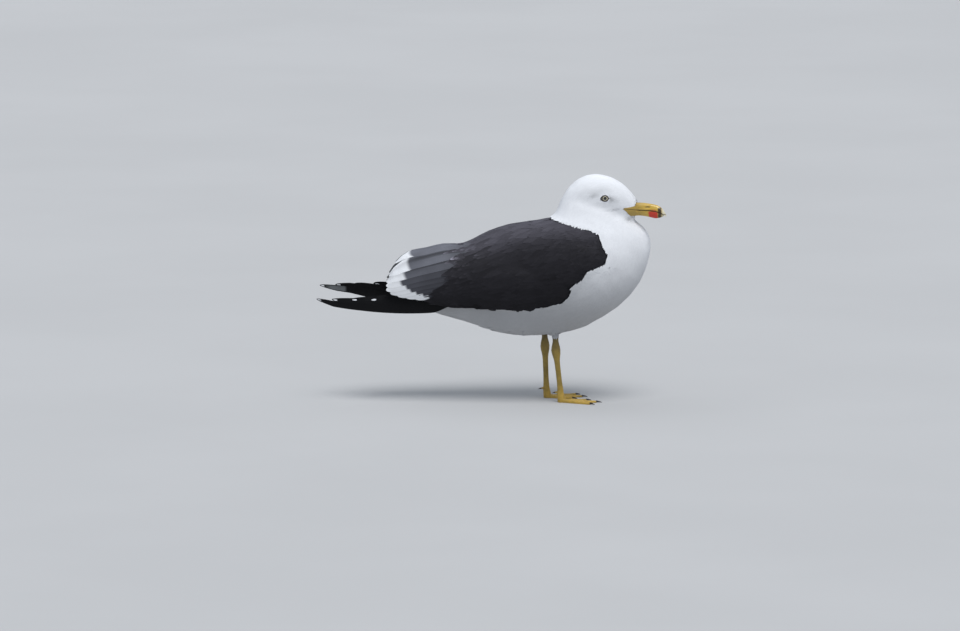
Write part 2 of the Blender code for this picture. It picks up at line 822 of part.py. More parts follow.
def foot(name, word, side, material):
    """The webbed front toes, the raised hind toe and the ankle, in one piece. Returns the foot's place."""
    x, y = ANKLE_X[word], side * LEG_SIDE
    joint = Vector((x + 1.5, y, 0.0))
    turn = Matrix.Rotation(math.radians(side * FOOT_TURN), 4, "Z")
    mirror = Matrix.Scale(-1.0 if side > 0 else 1.0, 4, Vector((0.0, 1.0, 0.0)))
    place = Matrix.Translation(joint) @ turn @ mirror
    rows = (
        (-SOLE * 1.5, x + 2.0, y, 5.6, 5.0),
        (3.5, x + 1.7, y, 5.8, 5.0),
        (8.5, x + 1.0, y, 5.3, 4.2),
        (14.0, x + 0.3, y, 4.6, 3.5),
        (ANKLE_HEIGHT - GAP, x, y, 4.4, 3.2),
    )
    made = tube(name, rows, material, smoothing=1)
    outline = web_outline()
    count = len(outline)
    points = [(*p, WEB_LIFT) for p in outline] + [(*p, WEB_LIFT + WEB_THICKNESS) for p in outline]
    faces = [tuple(range(count)), tuple(range(2 * count - 1, count - 1, -1))]
    faces += [(k, (k + 1) % count, (k + 1) % count + count, k + count) for k in range(count)]
    web = mesh_object("web", [place @ Vector(p) for p in points], faces, material)
    combine(made, web, "UNION")
    for toe, angle in (("inner", TOE_SPREAD), ("middle", 0.0), ("outer", -TOE_SPREAD)):
        swing = Matrix.Rotation(math.radians(angle), 4, "Z")
        rings = toe_rings(TOE_LENGTHS[toe])
        combine(made, loft("toe", rings, material, place @ swing), "UNION")
    combine(made, loft("hind_toe", hind_toe_rings(), material, place), "UNION")
    cut_off(made, (0.0, 0.0, 0.0), (0.0, 0.0, -1.0))
    return place


def claw(name, place, length, radius, root_height, material):
    """A small curved claw that runs along +X from its place and bends down to the floor."""
    rings, steps = [], 4
    for i in range(steps + 1):
        t = i / steps
        size = radius * (1.0 - 0.86 * t)
        x = GAP + length * math.sin(t * 1.25) / math.sin(1.25)
        z = root_height - (root_height - 0.45) * t ** 1.8
        rings.append([
            Vector((x, size * 0.75 * math.cos(a), z + size * math.sin(a)))
            for a in (2 * math.pi * k / 6 for k in range(6))
        ])
    return loft(name, rings, material, place)


def claws(word, place, material):
    for toe, angle in (("inner", TOE_SPREAD), ("middle", 0.0), ("outer", -TOE_SPREAD)):
        swing = Matrix.Rotation(math.radians(angle), 4, "Z")
        at = place @ swing @ Matrix.Translation((TOE_LENGTHS[toe], 0.0, 0.0))
        claw(f"claw_{word}_{toe}", at, CLAW_LENGTH, 1.5, 1.75, material)
    behind = Matrix.Translation((-2.5 - HIND_TOE_LENGTH, 1.6, HIND_TOE_HEIGHT - 3.1))
    at = place @ behind @ Matrix.Rotation(math.pi, 4, "Z")
    claw(f"claw_{word}_hind", at, 4.0, 1.15, 1.7, material)


# ---------------------------------------------------------------- the bird


def wing(word, side, surface, paint, trunk, neck, rump):
    slate = paint["slate_plumage"]
    seat(covert_panel(f"wing_{word}_coverts", surface, side, slate), trunk, neck, rump)
    seat(tertial_panel(f"wing_{word}_tertials", surface, side, slate), rump)
    seat(primary_blade(f"wing_{word}_primaries", word, side, paint["black_plumage"]), rump)


def leg(word, side, paint, trunk):
    yellow = paint["leg_yellow"]
    seat(shank(f"shank_{word}", word, side, yellow), trunk)
    tarsus(f"tarsus_{word}", word, side, yellow)
    place = foot(f"foot_{word}", word, side, yellow)
    claws(word, place, paint["claw_black"])


def build():
    clear_scene()
    paint = make_materials()
    form = body_form(paint["white_plumage"])
    surface = WingSurface(form)
    head, neck, trunk, rump = divide_body(form)

    seat(bill("bill_upper", UPPER_BILL_SECTIONS, True, paint["bill_yellow"]), head)
    seat(bill("bill_lower", LOWER_BILL_SECTIONS, False, paint["bill_yellow"]), head)
    for word, side in SIDES:
        seat(eye(f"eye_{word}", side, paint["eye"]), head)

    seat(tail(paint["white_plumage"]), rump)
    seat(mantle("mantle", surface, paint["slate_plumage"]), trunk, neck, rump)
    for word, side in SIDES:
        wing(word, side, surface, paint, trunk, neck, rump)
        leg(word, side, paint, trunk)


build()
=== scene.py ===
"""The looks of a lesser black-backed gull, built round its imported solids.

One skin lies inside the solids of flesh. Over it grow small overlapping vanes, and the large feathers of
wings and tail are modelled one by one. The bird faces +X, and its left side is +Y. Sizes are in millimetres
until new_mesh() turns them into metres.
"""

import math

import bmesh
import bpy
import numpy as np
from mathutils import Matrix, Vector
from mathutils.bvhtree import BVHTree


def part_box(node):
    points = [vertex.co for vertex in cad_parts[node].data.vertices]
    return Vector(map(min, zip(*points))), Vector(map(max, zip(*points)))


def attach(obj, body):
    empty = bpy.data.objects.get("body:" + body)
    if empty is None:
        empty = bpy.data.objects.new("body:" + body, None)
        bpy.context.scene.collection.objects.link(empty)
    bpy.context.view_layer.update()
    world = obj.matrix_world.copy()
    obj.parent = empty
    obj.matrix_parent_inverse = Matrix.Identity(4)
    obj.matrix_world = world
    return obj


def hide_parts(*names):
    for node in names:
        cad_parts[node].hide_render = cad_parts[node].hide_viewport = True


MM = 0.001
SIDES = (("left", 1), ("right", -1))
FLESH = ("head", "neck", "trunk", "rump")
WINGS = ("mantle", "wing_left_coverts", "wing_right_coverts")
TERTIALS = ("wing_left_tertials", "wing_right_tertials")
EYES = ("eye_left", "eye_right")
SEED = 7
SHARP = math.radians(75)  # the rim of a vane, where its two faces meet

# Where the eyes lie from the middle of the head: forward, to the side and up
EYE_FORWARD = 16.9
EYE_SIDE = 18.9
EYE_UP = 2.0
BILL_ROOT = (60.0, 0.0, -14.0)  # the middle of the bill where it leaves the feathers, in the same frame

# Colours, linear
WHITE = (0.86, 0.87, 0.89)
SLATE = (0.062, 0.059, 0.071)
# for the tertials: slate in painted shade, and grey paled by painted light and sheen
SLATE_PAINTED_SHADE = (0.026, 0.025, 0.031)
TERTIAL_GREY_PAINTED_LIGHT = (0.155, 0.159, 0.184)
BLACK = (0.006, 0.006, 0.007)
UNDERSIDE = 0.92  # a vane's underside against its top

# How far the vanes of a coat are lit as one surface
WHITE_BLEND = 0.8
SLATE_BLEND = 0.6
LOOSE_BLEND = 0.5
PLUME_BLEND = 0.3


# ---------------------------------------------------------------- numbers and meshes


def smooth_step(low, high, value):
    t = np.clip((value - low) / (high - low), 0.0, 1.0)
    return t * t * (3 - 2 * t)


def unit(vectors):
    return vectors / np.maximum(np.linalg.norm(vectors, axis=-1, keepdims=True), 1e-9)


def along_surface(ways, normals):
    """These ways turned into the surface, at unit length."""
    return unit(ways - normals * (ways * normals).sum(1, keepdims=True))


def pick(which, *arrays):
    return [array[which] for array in arrays]


def stack(*parts):
    """Points or vectors from their parts, which are numbers or arrays that go together."""
    return np.stack(np.broadcast_arrays(*parts), axis=-1)


def table(rows, x):
    """Linear interpolation in rows of (x, value), sorted by x."""
    return np.interp(x, [r[0] for r in rows], [r[1] for r in rows])


def new_object(name, data):
    obj = bpy.data.objects.new(name, data)
    bpy.context.scene.collection.objects.link(obj)
    return obj


def new_mesh(name, points, faces):
    """A smooth mesh object from points in millimetres and one array or list of faces."""
    mesh = bpy.data.meshes.new(name)
    mesh.vertices.add(len(points))
    mesh.vertices.foreach_set("co", (np.asarray(points, float) * MM).astype(np.float32).ravel())
    sizes = np.array([len(f) for f in faces], np.int32)
    corners = np.concatenate([np.asarray(f, np.int32) for f in faces])
    mesh.loops.add(len(corners))
    mesh.loops.foreach_set("vertex_index", corners)
    mesh.polygons.add(len(sizes))
    starts = np.concatenate([[0], np.cumsum(sizes)[:-1]]).astype(np.int32)
    mesh.polygons.foreach_set("loop_start", starts)
    mesh.update(calc_edges=True)
    mesh.shade_smooth()
    mesh.set_sharp_from_angle(angle=SHARP)
    return new_object(name, mesh)


def ring_quads(rings, around, closed=False):
    """Faces between rings of points, and between the last ring and the first where it is closed."""
    grid = np.arange(rings * around).reshape(rings, around)
    if closed:
        grid = np.concatenate([grid, grid[:1]])
    beside = np.roll(grid, -1, axis=1)
    return np.stack([grid[:-1], beside[:-1], beside[1:], grid[1:]], axis=-1).reshape(-1, 4)


def vectors_of(collection, name):
    out = np.empty(len(collection) * 3, np.float32)
    collection.foreach_get(name, out)
    return out.reshape(-1, 3).astype(float)


def places(obj):
    """The vertices of obj in millimetres."""
    return vectors_of(obj.data.vertices, "co") / MM


def vertex_normals(obj):
    return vectors_of(obj.data.vertex_normals, "vector")


def set_places(obj, points):
    obj.data.vertices.foreach_set("co", (points * MM).astype(np.float32).ravel())
    obj.data.update()


def add_attribute(obj, name, values):
    """Stores a vector at each point, or a colour where values has four columns."""
    kind, field = ("FLOAT_COLOR", "color") if values.shape[1] == 4 else ("FLOAT_VECTOR", "vector")
    layer = obj.data.attributes.new(name, kind, "POINT")
    layer.data.foreach_set(field, values.astype(np.float32).ravel())


def paint(obj, colours, alpha=1.0):
    """Stores each point's colour, with how bright a white end is there as its alpha, which carries painted
    shade.
    """
    alpha = np.broadcast_to(alpha, (len(colours), 1))
    add_attribute(obj, "plumage", np.concatenate([colours, alpha], axis=1))


def bake_modifiers(obj):
    graph = bpy.context.evaluated_depsgraph_get()
    made = bpy.data.meshes.new_from_object(obj.evaluated_get(graph))
    obj.modifiers.clear()
    obj.data = made


def soften(obj, times):
    modifier = obj.modifiers.new("soften", "SMOOTH")
    modifier.factor = 0.5
    modifier.iterations = times


def weld(obj):
    """Joins points that lie together and turns every face outwards."""
    tool = bmesh.new()
    tool.from_mesh(obj.data)
    bmesh.ops.remove_doubles(tool, verts=tool.verts, dist=1e-6)
    bmesh.ops.recalc_face_normals(tool, faces=tool.faces)
    tool.to_mesh(obj.data)
    tool.free()


def solids_of(nodes):
    """Some CAD nodes in one bmesh."""
    tool = bmesh.new()
    for node in nodes:
        tool.from_mesh(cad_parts[node].data)
    return tool


def tree_of(nodes):
    tool = solids_of(nodes)
    bmesh.ops.scale(tool, verts=tool.verts, vec=(1 / MM,) * 3)
    tree = BVHTree.FromBMesh(tool)
    tool.free()
    return tree


def envelope(name, nodes, grow, voxel, smoothing):
    """CAD nodes as one closed form: each is grown a little, so that neighbours meet, and remeshed."""
    tool = solids_of(nodes)
    bmesh.ops.remove_doubles(tool, verts=tool.verts, dist=1e-6)
    tool.normal_update()
    for vertex in tool.verts:
        vertex.co += vertex.normal * grow * MM
    mesh = bpy.data.meshes.new(name)
    tool.to_mesh(mesh)
    tool.free()
    obj = new_object(name, mesh)
    remesh = obj.modifiers.new("whole", "REMESH")
    remesh.mode = "VOXEL"
    remesh.voxel_size = voxel * MM
    soften(obj, smoothing)
    bake_modifiers(obj)
    obj.data.shade_smooth()
    return obj


class Surface:
    """A mesh that feathers are laid on."""

    def __init__(self, obj):
        self.points = places(obj)
        self.normals = vertex_normals(obj)
        obj.data.calc_loop_triangles()
        triangles = np.empty(len(obj.data.loop_triangles) * 3, np.int32)
        obj.data.loop_triangles.foreach_get("vertices", triangles)
        self.triangles = triangles.reshape(-1, 3)
        self.tree = BVHTree.FromPolygons(self.points.tolist(), self.triangles.tolist())

    def with_normals(self, found):
        """The places that the tree found, and the surface's smooth normals there."""
        at = np.array([f[0] for f in found])
        triangles = self.triangles[np.array([f[2] for f in found])]
        away = np.linalg.norm(self.points[triangles] - at[:, None, :], axis=2)
        weight = 1.0 / (away + 0.02)
        return at, unit((self.normals[triangles] * weight[:, :, None]).sum(1))

    def settle(self, spots):
        """The nearest places on the surface and their normals."""
        found = [self.tree.find_nearest(p) for p in spots.reshape(-1, 3).tolist()]
        return [part.reshape(spots.shape) for part in self.with_normals(found)]

    def cast(self, starts, directions):
        """Where rays hit the surface, and its normals there; for a ray that misses, the nearest place."""
        found = []
        for start, direction in zip(starts.tolist(), directions.tolist()):
            hit = self.tree.ray_cast(start, direction)
            found.append(self.tree.find_nearest(start) if hit[0] is None else hit)
        return self.with_normals(found)

    def area_points(self, count):
        """Random points on the surface, even by area, with their normals."""
        a, b, c = (self.points[self.triangles[:, k]] for k in range(3))
        areas = np.linalg.norm(np.cross(b - a, c - a), axis=1)
        chosen = RANDOM.choice(len(areas), size=count, p=areas / areas.sum())
        r, s = np.sqrt(RANDOM.random(count)), RANDOM.random(count)
        weights = np.stack([1 - r, r * (1 - s), r * s], axis=1)
        triangles = self.triangles[chosen]
        at = (self.points[triangles] * weights[:, :, None]).sum(1)
        return at, unit((self.normals[triangles] * weights[:, :, None]).sum(1))


def spread(points, spacing):
    """Picks points, in their order, that keep their own spacing from those already picked."""
    cell = float(spacing.max())
    grid, kept = {}, []
    near = [(i, j, k) for i in (-1, 0, 1) for j in (-1, 0, 1) for k in (-1, 0, 1)]
    keys = np.floor(points / cell).astype(int)
    for n, (p, gap, (x, y, z)) in enumerate(zip(points.tolist(), (spacing ** 2).tolist(), keys.tolist())):
        crowded = any(
            (p[0] - q[0]) ** 2 + (p[1] - q[1]) ** 2 + (p[2] - q[2]) ** 2 < gap
            for i, j, k in near
            for q in grid.get((x + i, y + j, z + k), ())
        )
        if not crowded:
            grid.setdefault((x, y, z), []).append(p)
            kept.append(n)
    return np.array(kept)


# ---------------------------------------------------------------- where things are on the bird


class Head:
    """The head's own frame, from where the eyes are: forward, to the bird's left, and up."""

    def __init__(self):
        eyes = [sum(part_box(f"eye_{word}"), Vector()) / 2 / MM for word, _ in SIDES]
        across = (eyes[0] - eyes[1]).normalized()
        self.forward = across.cross(Vector((0, 0, 1))).normalized()
        self.left = Vector((0, 0, 1)).cross(self.forward)
        self.middle = (eyes[0] + eyes[1]) / 2 - self.forward * EYE_FORWARD - Vector((0, 0, EYE_UP))
        self.axes = np.array([self.forward, self.left, (0, 0, 1)])

    def local(self, points):
        return (np.asarray(points) - np.array(self.middle)) @ self.axes.T

    def world(self, points):
        return np.asarray(points) @ self.axes + np.array(self.middle)

    def from_eye(self, points, side):
        """These places in the head's frame, told from the middle of one eye."""
        return self.local(points) - (EYE_FORWARD, side * EYE_SIDE, EYE_UP)

    def distance(self, points, spot):
        """How far these places lie from a spot in the head's frame."""
        return np.linalg.norm(points - self.world([spot]), axis=1)

    def side_reach(self, trees, forward, up, side):
        """How far out to one side these solids reach, over arrays of forward and up."""
        outside, way = 40.0, (-side * self.axes[1]).tolist()
        reach = []
        for start in self.world(stack(forward, side * outside, up)).reshape(-1, 3).tolist():
            hits = [tree.ray_cast(start, way)[0] for tree in trees]
            sides = [float(self.local([hit])[0][1]) * side for hit in hits if hit is not None]
            reach.append(max(sides) if sides else 0.0)
        return np.array(reach).reshape(forward.shape)


# The line that the plumage flows along, from the bill to the end of the tail, x and z
FLOW_XZ = (
    (206, 272), (178, 288), (152, 290), (140, 262), (146, 232), (130, 196), (90, 172), (30, 165), (-40, 158),
    (-110, 150), (-180, 142),
)
FLOW_LINE = np.array([(x, 0.0, z) for x, z in FLOW_XZ])
FLOW_REACH = 34.0  # how far each stretch of the line is felt


def flow_at(points, normals):
    """The way the feathers point at these places, along the surface."""
    middles, ways = (FLOW_LINE[1:] + FLOW_LINE[:-1]) / 2, unit(FLOW_LINE[1:] - FLOW_LINE[:-1])
    gap = np.linalg.norm(points[:, None, :] - middles[None], axis=2)
    weight = np.exp(-((gap / FLOW_REACH) ** 2) / 2) + 1e-12
    way = unit((weight[:, :, None] * ways[None]).sum(1))
    # down the front of the breast, from under the throat
    down = smooth_step(0.0, 0.45, normals[:, 0]) * smooth_step(268.0, 252.0, points[:, 2])
    way = way * (1 - 0.8 * down)[:, None] - np.outer(1.4 * down, (0.0, 0.0, 1.0))
    # parted round each eye
    for _, side in SIDES:
        from_eye = head.from_eye(points, side)
        close = np.exp(-((np.linalg.norm(from_eye, axis=1) / 8.5) ** 2))
        round_eye = np.where(from_eye[:, 2] > 0, 1.0, -1.0) * smooth_step(-6.0, 4.0, from_eye[:, 0])
        way[:, 2] += 1.9 * close * round_eye
    return along_surface(way, normals)


def unrolled(points):
    """A place's spot on the skin unrolled round the flow line: along it and round it, each from 0 to 1."""
    steps = np.linalg.norm(FLOW_LINE[1:] - FLOW_LINE[:-1], axis=1)
    starts = np.concatenate([[0.0], np.cumsum(steps)[:-1]])
    best, along, angle = np.full(len(points), np.inf), np.zeros(len(points)), np.zeros(len(points))
    for k, step in enumerate(steps):
        way = (FLOW_LINE[k + 1] - FLOW_LINE[k]) / step
        t = np.clip((points - FLOW_LINE[k]) @ way, 0, step)
        rest = points - (FLOW_LINE[k] + t[:, None] * way)
        gap = np.linalg.norm(rest, axis=1)
        up = np.cross(way, (0.0, 1.0, 0.0))
        closer = gap < best
        best = np.where(closer, gap, best)
        along = np.where(closer, starts[k] + t, along)
        angle = np.where(closer, np.arctan2(rest[:, 1], rest @ up), angle)
    margin = 0.02
    u = margin + (1 - 2 * margin) * along / steps.sum()
    v = margin + (1 - 2 * margin) * (angle / (2 * math.pi) + 0.5)
    return np.stack([u, v], axis=1)


def coat_depth(points):
    """How far the skin lies inside the solids: least beside the bill, less on the thighs and at the rear."""
    from_bill = head.distance(points, BILL_ROOT)
    depth = 1.1 + 3.9 * smooth_step(15.0, 170.0, from_bill)
    forward = head.local(points)[:, 0]
    depth = depth + 0.7 * smooth_step(56.0, 61.0, forward) * (1 - smooth_step(12.0, 24.0, from_bill))
    thigh = 1.0 - smooth_step(96.0, 118.0, points[:, 2])
    rear = 1.0 - smooth_step(-80.0, -30.0, points[:, 0])
    return depth * (1 - 0.6 * thigh) * (1 - 0.45 * rear)


# ---------------------------------------------------------------- vanes


class Coat:
    """Many closed vanes in one mesh, with their colours and their places on the unrolled skin."""

    PATCH = (0.003, 0.003)  # the size of one vane's patch on the unrolled skin

    def __init__(self, blend=0.0):
        """blend is how far the vanes are lit as one surface: 0 for single vanes, 1 for all as one."""
        self.blend = blend
        self.count = 0
        self.parts = {}

    def add(
        self, top, normals, thickness, colours, spots, seeds, along=None, shares=None, size=PATCH, tips=None,
        shade=None, under_colours=None,
    ):
        """Adds vanes: top and colours are (vanes, rows, columns, 3), thickness and seeds (vanes,).

        along and shares say where a vane's rows and columns lie. spots are the corners of their patches on
        the map, and size is a patch's width and height. tips says from where to where a vane is white, and
        shade, on the vane's grid, how bright that white is. under_colours, on the same grid as colours, is
        for an underside of its own.
        """
        n, rows, columns, _ = top.shape

        def both(upper, lower):
            """Values on the vanes' grids as rows of points: all of the top, then the underside's middle."""
            return np.concatenate(
                [a.reshape(len(a), -1, a.shape[-1]) for a in (upper, lower[:, 1:-1, 1:-1])], axis=1,
            )

        points = both(top, top - normals * thickness[:, None, None, None])
        each = points.shape[1]
        grid = np.arange(rows * columns).reshape(rows, columns)
        under = grid.copy()
        under[1:-1, 1:-1] = rows * columns + np.arange((rows - 2) * (columns - 2)).reshape(rows - 2, -1)
        upper_quads, under_quads = (
            np.stack([g[:-1, :-1], g[:-1, 1:], g[1:, 1:], g[1:, :-1]], axis=-1).reshape(-1, 4)
            for g in (grid, under)
        )
        quads = np.concatenate([upper_quads, under_quads[:, ::-1]])
        own = unit(np.cross(np.gradient(top, axis=2), np.gradient(top, axis=1)))
        own *= np.where((own * normals).sum(-1, keepdims=True) < 0, -1.0, 1.0)
        lit = unit(self.blend * normals + (1 - self.blend) * own).reshape(n, -1, 3)
        shares = np.linspace(-1, 1, columns) if shares is None else shares
        along = np.linspace(0, 1, rows) if along is None else along
        tu = np.stack(np.meshgrid(along, shares, indexing="ij"), axis=-1)[None]
        tu = both(tu, tu)
        lower_colours = colours * UNDERSIDE if under_colours is None else under_colours
        bright = (np.ones((rows, columns)) if shade is None else shade)[None, :, :, None]
        parts = {
            "points": points,
            "faces": quads[None] + (self.count + each * np.arange(n))[:, None, None],
            "lit": np.stack([lit[:, upper_quads], -lit[:, upper_quads[:, ::-1]]], axis=1),
            "maps": spots[:, None, :] + (tu[..., ::-1] * (0.5, 1.0) + (0.5, 0.0)) * np.array(size),
            "vane": stack(tu[..., 0], tu[..., 1], seeds[:, None]),
            "colours": both(colours, lower_colours),
            "bright": np.broadcast_to(both(bright, bright), (n, each, 1)),
        }
        if tips is not None:
            parts["tips"] = np.broadcast_to(tips[:, None, :], (n, each, 3))
        for key, values in parts.items():
            self.parts.setdefault(key, []).append(values.reshape(-1, values.shape[-1]))
        self.count += n * each

    def build(self, name, material, replaced=()):
        parts = {key: np.concatenate(values) for key, values in self.parts.items()}
        obj = new_mesh(name, parts["points"], parts["faces"])
        paint(obj, parts["colours"], parts["bright"])
        add_attribute(obj, "vane", parts["vane"])
        obj.data.normals_split_custom_set(parts["lit"].astype(np.float32))
        if "tips" in parts:
            add_attribute(obj, "tips", parts["tips"])
        layer = obj.data.uv_layers.new(name="OFBake")
        layer.data.foreach_set("uv", parts["maps"][parts["faces"].ravel()].astype(np.float32).ravel())
        dress(obj, material, replaced)


def dress(obj, material, replaced=()):
    """Gives a piece its material and its body, and hides the CAD nodes that it stands for."""
    obj.data.materials.append(material)
    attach(obj, "root")
    if replaced:
        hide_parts(*replaced)


def vane_widths(rows, root, tip):
    """Half widths down a vane, as shares of its greatest."""
    t = np.linspace(0, 1, rows)
    rise = root + (1 - root) * np.sin(np.minimum(t / 0.5, 1.0) * math.pi / 2)
    fall = 1 - (1 - tip) * np.maximum(0.0, (t - 0.6) / 0.4) ** 2
    return rise * fall


def lay_vanes(
    surface, at, normals, ways, length, width, rise, rows, columns, tip, slope, low=0.0, lag=0.34,
    camber=0.04, full=0.5,
):
    """Vanes that grow from these places and follow the surface, each over the one behind it.

    A vane starts at the height low, is near the height rise when it is grown to the share full, and climbs
    by slope from there to its tip, which is the share tip as wide as the vane. lag draws its edges back, and
    camber bends them down.

    Returns their top grids and the normals there, both (vanes, rows, columns, 3).
    """
    widths = vane_widths(rows, 0.45, tip)
    shares = np.linspace(-1, 1, columns)
    centre, way, normal = at, ways, normals
    grid, grid_normals = [], []
    step = length / (rows - 1)
    for r in range(rows):
        t = r / (rows - 1)
        side = np.cross(way, normal)
        half = width / 2 * widths[r]
        spots = centre[:, None, :] + side[:, None, :] * (shares[None, :] * half[:, None])[:, :, None]
        back = (lag * width * t)[:, None] * shares[None, :] ** 2
        on, around = surface.settle(spots - way[:, None, :] * back[:, :, None])
        height = low + (rise - slope - low) * (1 - (1 - min(t / full, 1.0)) ** 2) + slope * t
        height = height[:, None] - (camber * width)[:, None] * shares[None, :] ** 2
        grid.append(on + around * height[:, :, None])
        grid_normals.append(around)
        if r < rows - 1:
            centre, normal = surface.settle(centre + way * step[:, None])
            way = along_surface(way, normal)
    return np.stack(grid, axis=1), np.stack(grid_normals, axis=1)


def on_grid(values, top):
    """A colour for each vane, spread over the vane's grid."""
    return np.broadcast_to(values[:, None, None, :], top.shape).copy()


# ---------------------------------------------------------------- materials


class Nodes:
    """A short way to write a material's nodes."""

    def __init__(self, name):
        self.material = bpy.data.materials.new(name)
        self.material.use_nodes = True
        self.tree = self.material.node_tree
        self.shader = self.tree.nodes["Principled BSDF"]

    def add(self, kind, **settings):
        node = self.tree.nodes.new(kind)
        for key, value in settings.items():
            setattr(node, key, value)
        return node

    def put(self, socket, value):
        if isinstance(value, bpy.types.NodeSocket):
            self.tree.links.new(value, socket)
        elif value is not None:
            socket.default_value = value

    def maths(self, operation, a, b=None, c=None):
        node = self.add("ShaderNodeMath", operation=operation)
        for socket, value in zip(node.inputs, (a, b, c)):
            self.put(socket, value)
        return node.outputs[0]

    def plus(self, a, b):
        return self.maths("ADD", a, b)

    def minus(self, a, b):
        return self.maths("SUBTRACT", a, b)

    def times(self, a, b):
        return self.maths("MULTIPLY", a, b)

    def over(self, a, b):
        return self.maths("DIVIDE", a, b)

    def attribute(self, name, output):
        return self.add("ShaderNodeAttribute", attribute_name=name).outputs[output]

    def parts(self, name):
        """The three parts of a vector attribute."""
        split = self.add("ShaderNodeSeparateXYZ")
        self.put(split.inputs[0], self.attribute(name, "Vector"))
        return split.outputs

    def place(self):
        return self.add("ShaderNodeTexCoord").outputs["Object"]

    def noise(self, scale, detail=3.0, roughness=0.55, vector=None, stretch=None):
        where = vector or self.place()
        if stretch is not None:
            mapping = self.add("ShaderNodeMapping")
            mapping.inputs["Scale"].default_value = stretch
            self.put(mapping.inputs["Vector"], where)
            where = mapping.outputs[0]
        node = self.add("ShaderNodeTexNoise")
        settings = {"Scale": scale, "Detail": detail, "Roughness": roughness, "Vector": where}
        for key, value in settings.items():
            self.put(node.inputs[key], value)
        return node.outputs["Fac"]

    def span(self, value, from_low, from_high, to_low=0.0, to_high=1.0, smooth=True):
        node = self.add("ShaderNodeMapRange", interpolation_type="SMOOTHSTEP" if smooth else "LINEAR")
        for socket, number in zip(node.inputs, (value, from_low, from_high, to_low, to_high)):
            self.put(socket, number)
        return node.outputs[0]

    def mix(self, share, a, b, blend="MIX"):
        node = self.add("ShaderNodeMix", data_type="RGBA", blend_type=blend)
        self.put(node.inputs[0], share)
        for socket, value in ((node.inputs[6], a), (node.inputs[7], b)):
            self.put(socket, (*value, 1.0) if isinstance(value, tuple) else value)
        return node.outputs[2]

    def tint(self, colour, shade):
        """A colour made darker or brighter by a number."""
        grey = self.add("ShaderNodeCombineColor")
        for socket in grey.inputs:
            self.put(socket, shade)
        return self.mix(1.0, colour, grey.outputs[0], "MULTIPLY")

    def bump(self, height, strength, distance):
        node = self.add("ShaderNodeBump")
        for key, value in (("Strength", strength), ("Distance", distance), ("Height", height)):
            self.put(node.inputs[key], value)
        return node.outputs[0]

    def barbs(self, along, across, slant, wobble, waves, count):
        """Fine lines that slant away from a feather's shaft, from 0 to 1, with a wobble of some waves."""
        slanted = self.maths("MULTIPLY_ADD", across, -slant, along)
        lines = self.maths("SINE", self.maths("MULTIPLY_ADD", wobble, waves, self.times(slanted, count)))
        return self.maths("MULTIPLY_ADD", lines, 0.5, 0.5)

    def squares(self, a, b):
        """How far out a place is, squared, told by its two parts."""
        return self.plus(self.times(a, a), self.times(b, b))

    def finish(self, colour, roughness, normal=None, **constants):
        self.put(self.shader.inputs["Base Color"], colour)
        self.put(self.shader.inputs["Roughness"], roughness)
        self.put(self.shader.inputs["Normal"], normal)
        for key, value in constants.items():
            self.shader.inputs[key.replace("_", " ")].default_value = value
        return self.material


def feather_material(name, barbs, depth, roughness, mottle, specular):
    """Plumage: each vane's own colour, with fine slanting barbs either side of its shaft."""
    n = Nodes(name)
    plumage = n.attribute("plumage", "Color")
    along, across, seed = n.parts("vane")
    lines = n.barbs(along, n.maths("ABSOLUTE", across), 0.35, n.noise(60.0, 2.0), 9.0, barbs)
    soft = n.span(n.noise(22.0, 4.0), 0.3, 0.7, 1.0 - mottle, 1.0 + mottle * 0.4)
    each = n.span(seed, 0.0, 1.0, 1.0 - mottle * 0.7, 1.0 + mottle * 0.3, smooth=False)
    fine = n.span(lines, 0.0, 1.0, 0.95, 1.02, smooth=False)
    colour = n.tint(plumage, n.times(n.times(soft, each), fine))
    return n.finish(colour, roughness, n.bump(lines, 0.5, depth), Specular_IOR_Level=specular)


def flight_material(name, barbs, depth, roughness, spotted=False):
    """Long feathers: barbs, a soft sheen, and white where the vane's tips say.

    tips holds where a white end starts, where it stops and how soft its edge is. For a spotted feather it
    holds the white spot's middle along the vane, its half length and its half width.
    """
    n = Nodes(name)
    plumage, bright = n.attribute("plumage", "Color"), n.attribute("plumage", "Alpha")
    along, across, _ = n.parts("vane")
    start, stop, soft = n.parts("tips")
    side = n.maths("ABSOLUTE", across)
    wobble = n.noise(45.0, 3.0)
    lines = n.barbs(along, side, 0.16, wobble, 10.0, barbs)
    if spotted:
        down = n.over(n.minus(along, start), stop)
        out = n.over(n.plus(across, n.times(down, 0.06)), soft)
        white = n.span(n.maths("MULTIPLY_ADD", wobble, 0.2, n.squares(down, out)), 1.25, 0.95)
    else:
        rim = n.times(n.maths("POWER", side, 3.0), 0.03)
        reach = n.plus(n.maths("MULTIPLY_ADD", wobble, 0.03, along), rim)
        fade = n.over(n.minus(reach, n.plus(start, 0.015)), soft)
        white = n.times(n.span(fade, 0.0, 1.0), n.maths("LESS_THAN", along, stop))
    blotch = n.span(n.noise(26.0, 4.0), 0.3, 0.7, 0.86, 1.08)
    fine = n.span(lines, 0.0, 1.0, 0.93, 1.03, smooth=False)
    # white ends darkened where the alpha carries painted shade
    colour = n.mix(white, n.tint(plumage, n.times(blotch, fine)), n.tint(WHITE, n.times(bright, fine)))
    return n.finish(colour, roughness, n.bump(lines, 0.45, depth), Specular_IOR_Level=0.12)


def skin_material():
    """Plumed skin in the coat's own colours: down under the feathers."""
    n = Nodes("plumed_skin")
    down = n.noise(900.0, 4.0, 0.7)
    colour = n.tint(n.attribute("plumage", "Color"), n.span(down, 0.2, 0.8, 0.78, 1.0))
    return n.finish(colour, 0.9, n.bump(down, 0.6, 0.0006))


